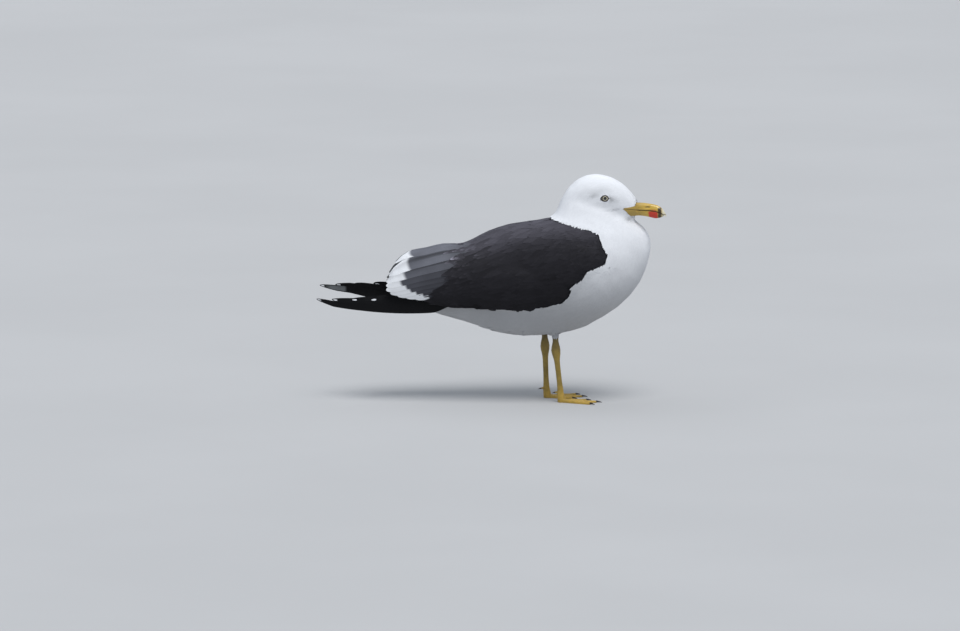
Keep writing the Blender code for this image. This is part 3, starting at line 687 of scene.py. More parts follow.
def leg_material():
    """Scaly leg skin in the skin's own colours: small scales, darker in their creases."""
    n = Nodes("leg_skin")
    cells = n.add("ShaderNodeTexVoronoi", feature="DISTANCE_TO_EDGE")
    n.put(cells.inputs["Scale"], 900.0)
    n.put(cells.inputs["Vector"], n.place())
    edge = n.span(cells.outputs["Distance"], 0.0, 0.12)
    blotch = n.span(n.noise(120.0, 4.0), 0.25, 0.75, 0.72, 1.08)
    shade = n.times(blotch, n.span(edge, 0.0, 1.0, 0.78, 1.0, smooth=False))
    return n.finish(n.tint(n.attribute("plumage", "Color"), shade), 0.45, n.bump(edge, 0.35, 0.0003))


def grained_material(name, scale, dark, pale, roughness, strength):
    """A dark horny or leathery surface with a fine grain of two tones."""
    n = Nodes(name)
    grain = n.noise(scale, 3.0)
    colour = n.mix(n.span(grain, 0.3, 0.7), dark, pale)
    return n.finish(colour, roughness, n.bump(grain, strength, 0.0002))


# ---------------------------------------------------------------- the markings

# The folded wings' half width and the ridge of the back, over x
CLOAK_WIDTH = ((-148.0, 32.0), (-100.0, 40.5), (-45.0, 48.5), (0.0, 54.5), (60.0, 60.0), (160.0, 20.0))
BACK_RIDGE = (
    (-140.0, 196.0), (-95.0, 218.0), (-45.0, 225.0), (-12.0, 238.0), (20.0, 250.0), (60.0, 259.0),
    (84.0, 262.0),
)
# The lower edge of the folded wing, z over x
WING_EDGE = ((-60.0, 133.0), (20.0, 134.0), (70.0, 137.0), (104.0, 147.0), (115.0, 160.0), (160.0, 195.0))
# Where white plumage meets slate on the side of the body: x over z
SEAM = (
    (133.0, -60.0), (134.5, 20.0), (137.0, 70.0), (147.0, 104.0), (159.0, 115.0), (173.0, 117.0),
    (182.0, 131.0), (194.0, 138.0), (204.0, 163.0), (218.0, 167.0), (230.0, 161.0), (247.0, 154.0),
    (253.0, 142.0), (265.0, 87.0), (281.0, 33.0),
)


def ahead_of_seam(points):
    """How far in front of the seam these places lie, less than nothing on the slate plumage.

    Under and behind the wings, on the inner part of the body, the nearer solid tells white from slate.
    """
    x, y, z = points.T
    ahead = x - table(SEAM, z)
    inner = np.abs(y) < 0.72 * table(CLOAK_WIDTH, x)
    for n in np.nonzero((ahead < 0) & inner & ((z < 137) | (x < -60)))[0]:
        spot = points[n].tolist()
        ahead[n] = WING_TREE.find_nearest(spot)[3] - BODY_TREE.find_nearest(spot)[3] - 3.0
    return ahead


def slate_painted_light_and_shade(points):
    """How the slate plumage is painted for light and shade: palest along the back, as lit from above, and
    darkest low on the folded wing and just above its lower edge, as painted shade.
    """
    below = np.maximum(table(BACK_RIDGE, points[:, 0]) - points[:, 2], 0.0)
    edge = 1 - smooth_step(4.0, 14.0, points[:, 2] - table(WING_EDGE, points[:, 0]))
    return 0.34 + 1.02 * np.exp(-((below / 19.0) ** 2)) - 0.07 * smooth_step(40.0, 90.0, below) - 0.05 * edge


def markings(points):
    """The skin's colour under these places on the outside of the bird: white or slate, as the coat's, with
    the slate's painted light and shade.
    """
    ahead = ahead_of_seam(points)
    near_wing = (points[:, 0] < 100) & (points[:, 2] > 131)
    dark = smooth_step(0.8, -0.8, ahead - 4.0 * near_wing * (np.abs(ahead) < 6))[:, None]
    return np.array(WHITE) * (1 - dark) + np.array(SLATE) * slate_painted_light_and_shade(points)[:, None] * dark


# Grey smudges on the white face, both sides: forward, up, their half sizes, and how dark
SMUDGES = (
    (29.0, 2.0, 6.5, 3.2, 0.42),
    (36.0, -1.5, 6.0, 3.0, 0.14),
    (5.0, 7.5, 6.0, 3.0, 0.28),
    (8.0, 13.5, 17.0, 4.5, 0.14),
    (33.0, -12.6, 10.0, 1.3, 0.30),
    (36.0, -19.0, 9.0, 4.5, 0.10),
    (52.0, -26.5, 6.0, 3.0, 0.42),
    (20.0, -6.0, 18.0, 5.0, 0.07),
)


def face_shade(points):
    """How grey the face is: in front of and behind the eye, from the gape back and under the bill."""
    f, s, u = head.local(points).T
    shade = np.zeros(len(points))
    for forward, up, long_, tall, dark in SMUDGES:
        shade = shade + dark * np.exp(-(((f - forward) / long_) ** 2) - ((u - up) / tall) ** 2)
    ring = np.hypot((f - EYE_FORWARD) / 1.15, u - EYE_UP)
    return shade * smooth_step(5.4, 7.4, ring) * smooth_step(2.0, 7.0, np.abs(s))


def white_with_painted_shade(at):
    """Each white vane's colour: a touch bluish, greyer low on the flanks and breast as painted shade, and
    smudged on the face.
    """
    # painted shade: the lower a vane roots, the greyer its white
    low = 1 - smooth_step(118.0, 246.0, at[:, 2])
    tone = np.array(WHITE) * (1 - 0.50 * low)[:, None]
    return tone * (1 - face_shade(at))[:, None] * (1.0, 1.0, 1.005)


# Bare leg skin: on the foot, above it, darkened by painted shade from the body, and at the top of the shank
FOOT_YELLOW = (0.56, 0.36, 0.06)
LEG_YELLOW_PAINTED_SHADE = (0.38, 0.26, 0.05)
SHANK_OLIVE = (0.15, 0.11, 0.03)


def bare_leg_colours(at):
    """Yellow below the thigh's feathers, brightest on the foot, the leg above it in painted shade under the
    body, and darker and olive at the top of the shank.
    """
    foot, painted_shade_yellow, olive = (np.array(c) for c in (FOOT_YELLOW, LEG_YELLOW_PAINTED_SHADE, SHANK_OLIVE))
    share = smooth_step(62.0, 98.0, at[:, 2])[:, None]
    high = smooth_step(6.0, 30.0, at[:, 2])[:, None]
    return foot * (1 - high) + (painted_shade_yellow * (1 - share) + olive * share) * high


# ---------------------------------------------------------------- the bird's skin


def claw_line(name):
    """A claw's tip and the middle of its base, where it meets its toe."""
    points = places(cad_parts[name])
    low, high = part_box(f"tarsus_{name.split('_')[1]}")
    ankle = np.array(((low.x + high.x) / 2, (low.y + high.y) / 2, low.z)) / MM
    away = np.linalg.norm(points - ankle, axis=1)
    return points[away.argmax()], points[away < away.min() + 0.8].mean(0)


def limb_nodes(word):
    return tuple(f"{part}_{word}" for part in ("shank", "tarsus", "foot"))


SCUTE = 2.6  # the height of one plate on the front of the tarsus
TOE_SCUTE = 2.1  # the length of one on the toes
SOLE = 0.35  # what lies lower than this is pressed flat on the floor


def scutes(distance, length):
    """The form of a row of plates, told by the distance along it: bulged, with narrow creases."""
    return np.abs(np.sin(distance * math.pi / length)) ** 0.5 - 0.8


def leg_skin(word):
    """One leg's bare skin, from inside the thigh's feathers to the toes, with its scutes."""
    obj = envelope(f"leg_{word}", limb_nodes(word), 0.15, 0.62, 3)
    at, normals = places(obj), vertex_normals(obj)
    low, high = (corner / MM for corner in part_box(f"tarsus_{word}"))
    front = smooth_step(-0.1, 0.6, normals[:, 0])
    upright = smooth_step(low.z - 6, low.z + 4, at[:, 2])
    below_heel = 1 - smooth_step(high.z + 8, high.z + 16, at[:, 2])
    lift = 0.16 * scutes(at[:, 2], SCUTE) * front * upright * below_heel
    foot_middle = sum(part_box(f"foot_{word}"), Vector()) / 2 / MM
    away = np.hypot(at[:, 0] - (low.x + 4), at[:, 1] - foot_middle.y)
    on_toes = (1 - upright) * smooth_step(0.2, 0.7, normals[:, 2]) * smooth_step(2.0, 3.0, at[:, 2])
    lift += 0.14 * scutes(away, TOE_SCUTE) * on_toes
    at = at + normals * lift[:, None]
    # each toe narrows to its claw
    for toe in ("hind", "inner", "middle", "outer"):
        tip, base = claw_line(f"claw_{word}_{toe}")
        way = unit(tip - base)
        along = (at - base) @ way
        axis = base + along[:, None] * way
        near = (along > -5.0) & (np.linalg.norm(at - axis, axis=1) < 4.5)
        narrow = np.where(near, 1 - 0.42 * smooth_step(-4.5, 0.4, along), 1.0)
        level = axis[:, 2] if toe == "hind" else 0.0
        at[:, :2] = axis[:, :2] + (at[:, :2] - axis[:, :2]) * narrow[:, None]
        at[:, 2] = level + (at[:, 2] - level) * (0.6 + 0.4 * narrow)
    at[:, 2] = np.where(at[:, 2] < SOLE, 0.0, at[:, 2])
    set_places(obj, at)
    return obj


def body_skin():
    """Head, neck, trunk and rump as one skin, at the coat's depth inside the solids."""
    obj = envelope("skin", FLESH + WINGS + EYES, 0.6, 2.4, 6)
    at, normals = places(obj), vertex_normals(obj)
    set_places(obj, at - normals * coat_depth(at)[:, None])
    soften(obj, 3)
    bake_modifiers(obj)
    return obj


def joined_skin():
    """The one skin: body and legs welded, in place of every node of flesh.

    Returns the surfaces that feathers grow on: the body, and the two legs.
    """
    body = body_skin()
    outside = places(body) + vertex_normals(body) * coat_depth(places(body))[:, None]
    paint(body, markings(outside))
    body.data.materials.append(skin_material())
    surface = Surface(body)
    bare = leg_material()
    limbs = [leg_skin(word) for word, _ in SIDES]
    guides = [Surface(limb) for limb in limbs]
    for limb in limbs:
        paint(limb, bare_leg_colours(places(limb)))
        limb.data.materials.append(bare)
        union = body.modifiers.new("leg", "BOOLEAN")
        union.operation = "UNION"
        union.solver = "MANIFOLD"
        union.material_mode = "TRANSFER"
        union.object = limb
    bake_modifiers(body)
    for limb in limbs:
        bpy.data.objects.remove(limb)
    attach(body, "root")
    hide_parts(*FLESH, *(node for word, _ in SIDES for node in limb_nodes(word)))
    return surface, guides


# ---------------------------------------------------------------- the scene's own fixed things


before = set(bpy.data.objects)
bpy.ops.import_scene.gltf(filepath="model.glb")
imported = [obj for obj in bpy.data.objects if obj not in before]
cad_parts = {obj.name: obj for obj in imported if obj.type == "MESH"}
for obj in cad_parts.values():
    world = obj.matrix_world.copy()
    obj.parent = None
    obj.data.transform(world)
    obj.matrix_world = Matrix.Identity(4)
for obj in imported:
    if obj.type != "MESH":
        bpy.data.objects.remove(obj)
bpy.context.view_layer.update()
head = Head()
WING_TREE = tree_of(WINGS + TERTIALS)
BODY_TREE = tree_of(FLESH)
HEAD_TREE = tree_of(("head", *EYES))
RANDOM = np.random.default_rng(SEED)


# ---------------------------------------------------------------- the coat of head and body


def feather_size(points):
    """The gap between vanes at these places, smallest on the face and round the eyes."""
    from_bill = head.distance(points, BILL_ROOT)
    gap = 1.15 + 1.35 * smooth_step(6.0, 75.0, from_bill) + 2.6 * smooth_step(70.0, 190.0, from_bill)
    for _, side in SIDES:
        from_eye = head.distance(points, (EYE_FORWARD, side * EYE_SIDE, EYE_UP))
        gap = np.minimum(gap, 0.95 + 1.2 * smooth_step(7.0, 24.0, from_eye))
    return gap


# Where the feathers end beside the bill: forward over up. They reach furthest on the culmen and the chin,
# and fall back to the gape between its two halves.
FEATHER_EDGE = (
    (-28.0, 58.0), (-24.0, 51.0), (-19.0, 48.0), (-15.0, 44.0), (-13.0, 41.0), (-11.6, 45.0), (-10.2, 54.0),
    (-9.0, 58.0), (-4.0, 59.0), (2.0, 60.0),
)
UNDER_HORN = 1.6  # how far under the horn's edge the foremost vanes root
EYE_OPENING = (5.5, 4.2)  # its half length and half height


def is_bare(points):
    """True where no feathers root: on the bill's core and in the eyes' openings."""
    f, s, u = head.local(points).T
    bare = (f > table(FEATHER_EDGE, u) + UNDER_HORN) & (np.abs(s) < 19) & (u < 2) & (u > -26)
    for _, side in SIDES:
        eye = np.hypot((f - EYE_FORWARD) / EYE_OPENING[0], (u - EYE_UP) / EYE_OPENING[1]) < 1.0
        bare |= eye & (s * side > 8)
    return bare


def turned(ways, normals, spread_angle):
    """These ways, each turned in the surface by a small random angle."""
    turn = RANDOM.normal(0.0, spread_angle, len(ways))
    return unit(ways + np.cross(normals, ways) * turn[:, None])


ROOT_SAMPLES = 260000  # random places on the body, of which the feathers' roots are picked
FEW_SAMPLES = 9000  # the same for loose feathers, and for the thighs'
WING_BOTTOM = 138.0  # above this height, and ahead of WING_REAR, white plumage lies beside the wing
WING_REAR = -20.0


def body_coat(surface, guides):
    """White vanes over head, neck, breast, belly, flanks, rump and thighs, in pieces by where they root."""
    at, normals = surface.area_points(ROOT_SAMPLES)
    at, normals = pick(~is_bare(at), at, normals)
    outside = at + normals * coat_depth(at)[:, None]
    ahead = ahead_of_seam(outside)
    at, normals, outside, ahead = pick(ahead > -1.0, at, normals, outside, ahead)
    beside_wing = (outside[:, 2] > WING_BOTTOM) & (at[:, 0] > WING_REAR)
    gap = feather_size(at) * (1 - 0.42 * (1 - smooth_step(5.0, 16.0, ahead)) * beside_wing)
    chosen = spread(at, gap)
    order = chosen[np.argsort(at[chosen, 0], kind="stable")]
    at, normals, gap, ahead, beside_wing = pick(order, at, normals, gap, ahead, beside_wing)
    count = len(at)
    ways = turned(flow_at(at, normals), normals, 0.07)
    seeds = RANDOM.random(count)
    length = gap * (4.4 + 1.0 * RANDOM.random(count))
    width = gap * (2.0 + 0.3 * RANDOM.random(count))
    for _, side in SIDES:
        from_eye = np.linalg.norm(head.from_eye(at, side), axis=1)
        length = length * (0.62 + 0.38 * smooth_step(5.0, 12.0, from_eye))
    length = length * (1 + 0.10 * (ahead < 8) * RANDOM.normal(size=count))
    rise = coat_depth(at) - 0.35 + 0.9 * (1 - smooth_step(0.0, 34.0, ahead)) * beside_wing
    from_bill = head.distance(at, BILL_ROOT)
    on_head = from_bill < 62
    on_seam = ~on_head & (ahead < 12) & beside_wing
    on_neck = ~on_head & ~on_seam & (from_bill < 150)
    rest = ~on_head & ~on_seam & ~on_neck
    x = at[:, 0]
    # which vanes, their rows and columns, and how far their edges lag
    parts = {
        "face_coat": (on_head, 5, 5, 0.34),
        "neck_coat": (on_neck, 5, 4, 0.34),
        "seam_coat": (on_seam, 5, 5, 0.10),
        "breast_coat": (rest & (x > 70), 6, 5, 0.34),
        "belly_coat": (rest & (x <= 70) & (x > -15), 6, 5, 0.34),
        "rump_coat": (rest & (x <= -15), 6, 5, 0.34),
    }
    material = feather_material("white_plumage", 34.0, 0.00006, 0.8, 0.04, 0.2)
    for name, (inside, rows, columns, lag) in parts.items():
        coat = Coat(WHITE_BLEND)
        roots = pick(inside, at, normals, ways, length, width, rise)
        add_white_vanes(
            coat, surface, *roots, gap[inside] * 0.08, seeds[inside],
            rows=rows, columns=columns, lag=lag, full=1.0 / (rows - 1), slope=0.3, tip=0.52,
        )
        coat.build(name, material)
    loose_feathers(surface, material)
    thigh_feathers(guides, material)


def add_white_vanes(coat, surface, at, normals, ways, length, width, rise, thickness, seeds, **form):
    top, around = lay_vanes(surface, at, normals, ways, length, width, rise, **form)
    coat.add(top, around, thickness, on_grid(white_with_painted_shade(at), top), unrolled(at), seeds)


def loose_feathers(surface, material):
    """Loose white feathers along the rear of the belly, standing off it towards their tips."""
    at, normals = surface.area_points(FEW_SAMPLES)
    under = (at[:, 0] > -10) & (at[:, 0] < 66) & (normals[:, 2] < -0.7) & (np.abs(at[:, 1]) < 34)
    at, normals = pick(under, at, normals)
    at, normals = pick(spread(at, np.full(len(at), 5.5)), at, normals)
    count = len(at)
    ways = turned(flow_at(at, normals), normals, 0.16)
    length = 17.0 + 7.0 * RANDOM.random(count)
    width = 7.5 + 2.5 * RANDOM.random(count)
    rise = coat_depth(at) + 0.2 + 0.9 * RANDOM.random(count) ** 2
    coat = Coat(LOOSE_BLEND)
    add_white_vanes(
        coat, surface, at, normals, ways, length, width, rise, np.full(count, 0.3), RANDOM.random(count),
        rows=9, columns=7, lag=0.5, tip=0.22, slope=0.8,
    )
    coat.build("belly_loose_feathers", material)


THIGH_LOW, THIGH_HIGH = 96.5, 105.0  # the heights between which the thigh's last feathers root


def thigh_feathers(guides, material):
    """Short white feathers down the top of each leg, out of the belly's plumage."""
    coat = Coat(LOOSE_BLEND)
    for guide in guides:
        at, normals = guide.area_points(FEW_SAMPLES)
        at, normals = pick((at[:, 2] > THIGH_LOW) & (at[:, 2] < THIGH_HIGH), at, normals)
        at, normals = pick(spread(at, np.full(len(at), 1.6)), at, normals)
        at, normals = pick(np.argsort(at[:, 2]), at, normals)
        count = len(at)
        ways = along_surface((-0.25, 0.0, -1.0) + RANDOM.normal(0.0, 0.10, (count, 3)), normals)
        length = 5.0 + 2.5 * RANDOM.random(count)
        rise = 0.35 + 0.07 * (at[:, 2] - THIGH_LOW) + 0.15 * RANDOM.random(count)
        add_white_vanes(
            coat, guide, at, normals, ways, length, np.full(count, 3.6), rise, np.full(count, 0.2),
            RANDOM.random(count), rows=6, columns=5, tip=0.45, slope=0.2,
        )
    coat.build("thigh_feathers", material)


# ---------------------------------------------------------------- the folded wings

# The middle of the folded wings' sections, x and z, from which angles are told
CLOAK_MIDDLE = ((-250, 150), (-148, 160), (-100, 166), (-45, 170), (60, 175), (160, 198))
CLOAK_RADIUS = 46.0  # about how far the outside lies from those
OUTSIDE = 200.0  # how far out the rays start that look for the outside
# The rearmost roots of the wing coverts and scapulars, x over z
COVERT_REAR = ((134.0, -62.0), (160.0, -50.0), (190.0, -26.0), (214.0, -12.0), (240.0, -8.0))


def edge_heights(node, x, lowest):
    """The height of a plate's lower or upper edge at x."""
    at = places(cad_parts[node])
    columns = np.unique(np.round(at[:, 0], 1))
    pick_one = np.min if lowest else np.max
    heights = [pick_one(at[np.abs(at[:, 0] - c) < 0.11, 2]) for c in columns]
    return np.interp(x, columns, heights)


class Cloak:
    """The outside of body and folded wings together, told by x and the angle from the ridge."""

    def __init__(self):
        form = envelope("guide", FLESH + WINGS + TERTIALS, 0.6, 2.0, 3)
        self.surface = Surface(form)
        bpy.data.objects.remove(form)

    def wrap(self, x, angle, side):
        middle = stack(x, 0.0, table(CLOAK_MIDDLE, x))
        away = stack(0.0, side * np.sin(angle), np.cos(angle))
        return self.surface.cast(middle + away * OUTSIDE, -away)


COVERTS_FROM, COVERTS_TO = 168.0, -62.0  # x of the first and of the last row
COVERTS_ROUND = 2.4  # how far round from the ridge the rows go


def covert_vanes(cloak, side):
    """Where the mantle's, scapulars' and coverts' feathers root on one side, in staggered rows."""
    xs, angles, row = [], [], 0
    x = COVERTS_FROM
    while x > COVERTS_TO:
        back = smooth_step(150.0, 10.0, x)
        length = 13.0 + 40.0 * back
        width = 6.0 + 11.0 * back
        step = 0.40 * width / CLOAK_RADIUS
        for k in range(int(COVERTS_ROUND / step)):
            xs.append(x)
            angles.append(step * (k + 0.5 * (row % 2)) + 0.01)
        x -= 0.17 * length
        row += 1
    xs = np.array(xs) + RANDOM.normal(0.0, 1.5, len(xs))
    angles = np.array(angles) + RANDOM.normal(0.0, 0.02, len(xs))
    at, normals = cloak.wrap(xs, angles, side)
    mine = (ahead_of_seam(at) < -1.5) & (at[:, 0] > table(COVERT_REAR, at[:, 2]))
    return pick(mine, at, normals)


COVERT_ROWS, COVERT_COLUMNS = 9, 7
CRESCENT = (-62.0, 206.0)  # the middle of the pale line where the scapulars end, x and z


def wing_coat(cloak):
    """Slate vanes over mantle and wing coverts, with paler fringes to the long ones at the rear, painted
    light along the back and painted shade low on the wing.
    """
    material = feather_material("slate_plumage", 40.0, 0.00010, 0.7, 0.12, 0.12)
    for word, side in SIDES:
        at, normals = covert_vanes(cloak, side)
        at, normals = pick(np.argsort(at[:, 0], kind="stable"), at, normals)
        count = len(at)
        back = smooth_step(150.0, 0.0, at[:, 0])
        share = np.clip((225.0 - at[:, 2]) / 85.0, 0.0, 1.0)  # 0 on the back, 1 low on the wing
        length = (15.0 + 43.0 * back) * (1 + 0.12 * RANDOM.normal(size=count)) * (1 - 0.30 * share * back)
        width = (7.5 + 11.0 * back) * (1 + 0.10 * RANDOM.normal(size=count)) * (1 - 0.15 * share * back)
        ways = stack(-1.0, 0.0, -0.40 + 0.36 * share ** 1.5) + RANDOM.normal(0.0, 0.045, (count, 3))
        rise = 0.1 + 0.2 * RANDOM.random(count) - 0.9 * smooth_step(-9.0, -1.5, ahead_of_seam(at))
        top, around = lay_vanes(
            cloak.surface, at, normals, along_surface(ways, normals), length, width, rise, rows=COVERT_ROWS,
            columns=COVERT_COLUMNS, low=-2.2, lag=0.55, tip=0.34, slope=0.5, camber=0.03,
        )
        # painted light and shade, palest on the back and darkest low on the wing, with a random tone for
        # each vane
        tone = slate_painted_light_and_shade(at) * (1 + 0.09 * RANDOM.normal(size=count))
        colours = on_grid(tone[:, None] * SLATE, top)
        # paler ends, most on the long scapulars, and a shadow along the side that lies under the next vane
        ends = np.zeros((COVERT_ROWS, COVERT_COLUMNS))
        ends[-1, :] = 1.0
        ends[-3:, (0, -1)] = 0.5
        scapular = back * (1 - share) * (1 - smooth_step(5.0, 60.0, at[:, 0]))
        end = top[:, -1, COVERT_COLUMNS // 2]
        crescent = np.exp(-(((end[:, 0] - CRESCENT[0]) / 9.0) ** 2) - ((end[:, 2] - CRESCENT[1]) / 5.0) ** 2)
        colours *= (1 + (0.10 + 1.3 * scapular ** 2 + 6.0 * crescent)[:, None, None] * ends[None])[..., None]
        lengthwise = np.linspace(0, 1, COVERT_ROWS)[:, None]
        crosswise = np.linspace(-1, 1, COVERT_COLUMNS)[None, :] * side
        shadow = (1 - 0.5 * lengthwise) * np.exp(-(((crosswise + 0.55) / 0.35) ** 2))
        colours *= (1 - (0.10 + 0.45 * scapular)[:, None, None] * shadow[None])[..., None]
        coat = Coat(SLATE_BLEND)
        coat.add(top, around, np.full(count, 0.3), colours, unrolled(at), RANDOM.random(count))
        replaced = (f"wing_{word}_coverts",) + (("mantle",) if side > 0 else ())
        coat.build(f"wing_{word}_coat", material, replaced)


# Tertials and secondaries, uppermost first: x of the root and its angle from the ridge, the same of the tip,
# the width, the white tip's length, and how pale the grey is: painted light and sheen on the upper ones,
# painted shade on the lower ones
TERTIAL_FEATHERS = (
    (-10.0, 0.20, -136.0, 0.24, 25.0, 25.0, 1.0),
    (-12.0, 0.50, -145.0, 0.72, 31.0, 33.0, 1.0),
    (-14.0, 0.76, -148.5, 1.04, 28.0, 30.0, 0.75),
    (-18.0, 0.98, -149.0, 1.28, 25.0, 24.0, 0.45),
    (-22.0, 1.14, -149.0, 1.50, 19.0, 31.0, 0.40),
    (-26.0, 1.28, -143.0, 1.67, 17.0, 31.0, 0.38),
    (-30.0, 1.40, -133.0, 1.79, 16.0, 29.0, 0.36),
    (-34.0, 1.52, -121.0, 1.87, 15.0, 26.0, 0.34),
    (-38.0, 1.62, -109.0, 1.92, 14.0, 22.0, 0.32),
)
# Primaries, longest first: how far the tip's x falls short of the folded wing's point, the height of the
# centre line over the blade's lower edge at its root, the width, and the white spot's half length
PRIMARY_FEATHERS = (
    (0.0, 7.0, 15.0, 2.6),
    (22.0, 11.5, 17.0, 3.0),
    (49.0, 16.5, 18.5, 3.3),
    (76.0, 21.5, 20.0, 3.5),
    (93.0, 26.0, 20.0, 0.01),
    (106.0, 30.5, 20.0, 0.01),
    (119.0, 35.0, 20.0, 0.01),
)
PRIMARY_ROOT = -50.0
BLADE_ROOT = -46.5  # just inside the end of the primaries' solid
UNDER_GREY = (0.15, 0.16, 0.165)  # near the point of the longest primary, on its underside only
TAIL_PAIRS = 6
FAN_HALF = 11.0  # just inside the half width of the tail's solid

# A long feather's rows lie closer together towards its tip, and its columns beside its shaft
PLUME_ROWS = 44
DOWN = 1 - (1 - np.linspace(0, 1, PLUME_ROWS)) ** 1.35
ACROSS = np.array((-1.0, -0.84, -0.62, -0.38, -0.14, -0.05, 0.0, 0.05, 0.14, 0.38, 0.62, 0.84, 1.0))


def plume_half_widths(width, root, fullest, tip_power):
    """Half widths of a long feather: from its root, fullest part way down, and round to its end."""
    rise = root + (1 - root) * np.sin(np.minimum(DOWN / fullest, 1.0) * math.pi / 2)
    fall = np.sqrt(np.maximum(1 - np.clip((DOWN - fullest) / (1 - fullest), 0, 1) ** tip_power, 0.0))
    return width / 2 * np.maximum(rise * fall, 0.02)


def lay_plume(
    coat, centres, sides, halves, drape, lift, colour, tips, cell, cells, shaft, shade=None,
    under_colours=None,
):
    """One long feather: a closed vane along its centre line, draped sideways, with a raised shaft.

    Its place on the map is one of a row of cells.
    """
    spots = centres[:, None, :] + sides[:, None, :] * (halves[:, None] * ACROSS[None, :])[:, :, None]
    on, around = drape(spots)
    t = DOWN[:, None]
    height = lift[:, None] - 0.04 * halves[:, None] * ACROSS[None, :] ** 2
    height = height + shaft * (1 - 0.75 * t) * np.exp(-((ACROSS[None, :] / 0.06) ** 2))
    top = (on + around * height[:, :, None])[None]
    on_shaft = np.exp(-((ACROSS[None, :] / 0.07) ** 2))
    colours = np.array(colour) * (1 + 0.35 * (1 - t) * on_shaft)[None, :, :, None]
    if shade is not None:
        colours = colours * shade[None, :, :, None]
    white_shade = None if shade is None else 0.35 + 0.65 * shade
    coat.add(
        top, around[None], np.array([0.3]), colours, np.array([[cell / cells, 0.02]]),
        np.array([RANDOM.random()]), DOWN, ACROSS, (0.9 / cells, 0.96), np.array([tips]), white_shade,
        under_colours,
    )


def tertials(cloak, word, side, material):
    """The long slate feathers with white ends that close the folded wing."""
    coat = Coat(PLUME_BLEND)
    count = len(TERTIAL_FEATHERS)
    for k, (root_x, root_angle, tip_x, tip_angle, width, white, pale) in enumerate(TERTIAL_FEATHERS):
        x = root_x + (tip_x - root_x) * DOWN
        centres, normals = cloak.wrap(x, root_angle + (tip_angle - root_angle) * DOWN, side)
        sides = unit(np.cross(unit(np.gradient(centres, axis=0)), normals))
        halves = plume_half_widths(width, 0.55, 0.55, 2.6)
        length = float(np.linalg.norm(np.diff(centres, axis=0), axis=1).sum())
        lift = -1.7 + 0.22 * (count - 1 - k) + 0.5 * DOWN - 1.6 * (1 - smooth_step(0.0, 0.2, DOWN))
        tips = (1 - white / length, 1.1, 0.03 + 0.02 * pale)
        # painted light and shade: the upper feathers paler, as lit from above and with sheen, the lower ones
        # darker
        grey = np.array(TERTIAL_GREY_PAINTED_LIGHT) * pale + np.array(SLATE_PAINTED_SHADE) * (1 - pale)
        # shaded where the feather above lies over it, and under the coverts at its root
        overlapped = np.exp(-(((ACROSS[None, :] * side + 0.34) / 0.36) ** 2))
        shade = 1 - 0.72 * (k > 0) * overlapped * (1 - 0.65 * smooth_step(0.6, 1.0, DOWN)[:, None])
        shade = shade * (0.52 + 0.48 * smooth_step(0.14, 0.50, DOWN))[:, None]
        drape = cloak.surface.settle
        lay_plume(coat, centres, sides, halves, drape, lift, grey, tips, k, count, 0.35, shade)
    coat.build(f"wing_{word}_tertial_feathers", material, (f"wing_{word}_tertials",))


def primaries(word, side, material):
    """The black flight feathers, one over another, each with a small white spot at its tip."""
    node = f"wing_{word}_primaries"
    blade = Surface(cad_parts[node])
    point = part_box(node)[0].x / MM
    point_height = float(edge_heights(node, point, True) + edge_heights(node, point, False)) / 2

    def drape(spots):
        """The same places moved sideways on to the blade's outer face."""
        flat = spots.reshape(-1, 3).copy()
        low = edge_heights(node, flat[:, 0], True) + 0.25
        high = edge_heights(node, flat[:, 0], False) - 0.25
        x = np.clip(flat[:, 0], point + 0.3, BLADE_ROOT)
        inside = stack(x, side * 120.0, np.clip(flat[:, 2], low, np.maximum(low, high)))
        hit, _ = blade.cast(inside, np.broadcast_to((0.0, -side, 0.0), inside.shape))
        flat[:, 1] = hit[:, 1]
        return flat.reshape(spots.shape), np.broadcast_to((0.0, float(side), 0.0), spots.shape)

    coat = Coat(PLUME_BLEND)
    count = len(PRIMARY_FEATHERS)
    for k, (short, over, width, spot_half) in enumerate(PRIMARY_FEATHERS):
        tip_x = point + short
        x = PRIMARY_ROOT + (tip_x - PRIMARY_ROOT) * DOWN
        tip_height = point_height + 0.012 * short - float(edge_heights(node, tip_x, True))
        under_coverts = 1 - smooth_step(0.0, 0.17, DOWN)
        z = edge_heights(node, x, True) + over + (tip_height - over) * DOWN ** 1.6 + 6.0 * under_coverts
        halves = plume_half_widths(width, 0.7, 0.35, 1.7 if k < 3 else 2.2) * (1 - 0.6 * under_coverts)
        sides = np.broadcast_to((0.0, 0.0, -float(side)), (PLUME_ROWS, 3))
        length = abs(tip_x - PRIMARY_ROOT)
        tips = (1 - 1.6 * spot_half / length, spot_half / length, 3.2 / (width / 2))
        under_colours = None
        if k == 0:
            reach = smooth_step(0.80, 0.82, DOWN) * (1 - smooth_step(0.90, 0.98, DOWN))
            grey = reach[:, None] * (np.abs(ACROSS[None, :]) < 0.7)
            under_colours = (np.array(BLACK) + grey[..., None] * np.array(UNDER_GREY))[None]
        lift = np.full(PLUME_ROWS, -2.2 + 0.34 * k)
        lay_plume(
            coat, stack(x, 0.0, z), sides, halves, drape, lift, BLACK, tips, k, count, 0.2,
            under_colours=under_colours,
        )
    coat.build(f"wing_{word}_primary_feathers", material, (node,))


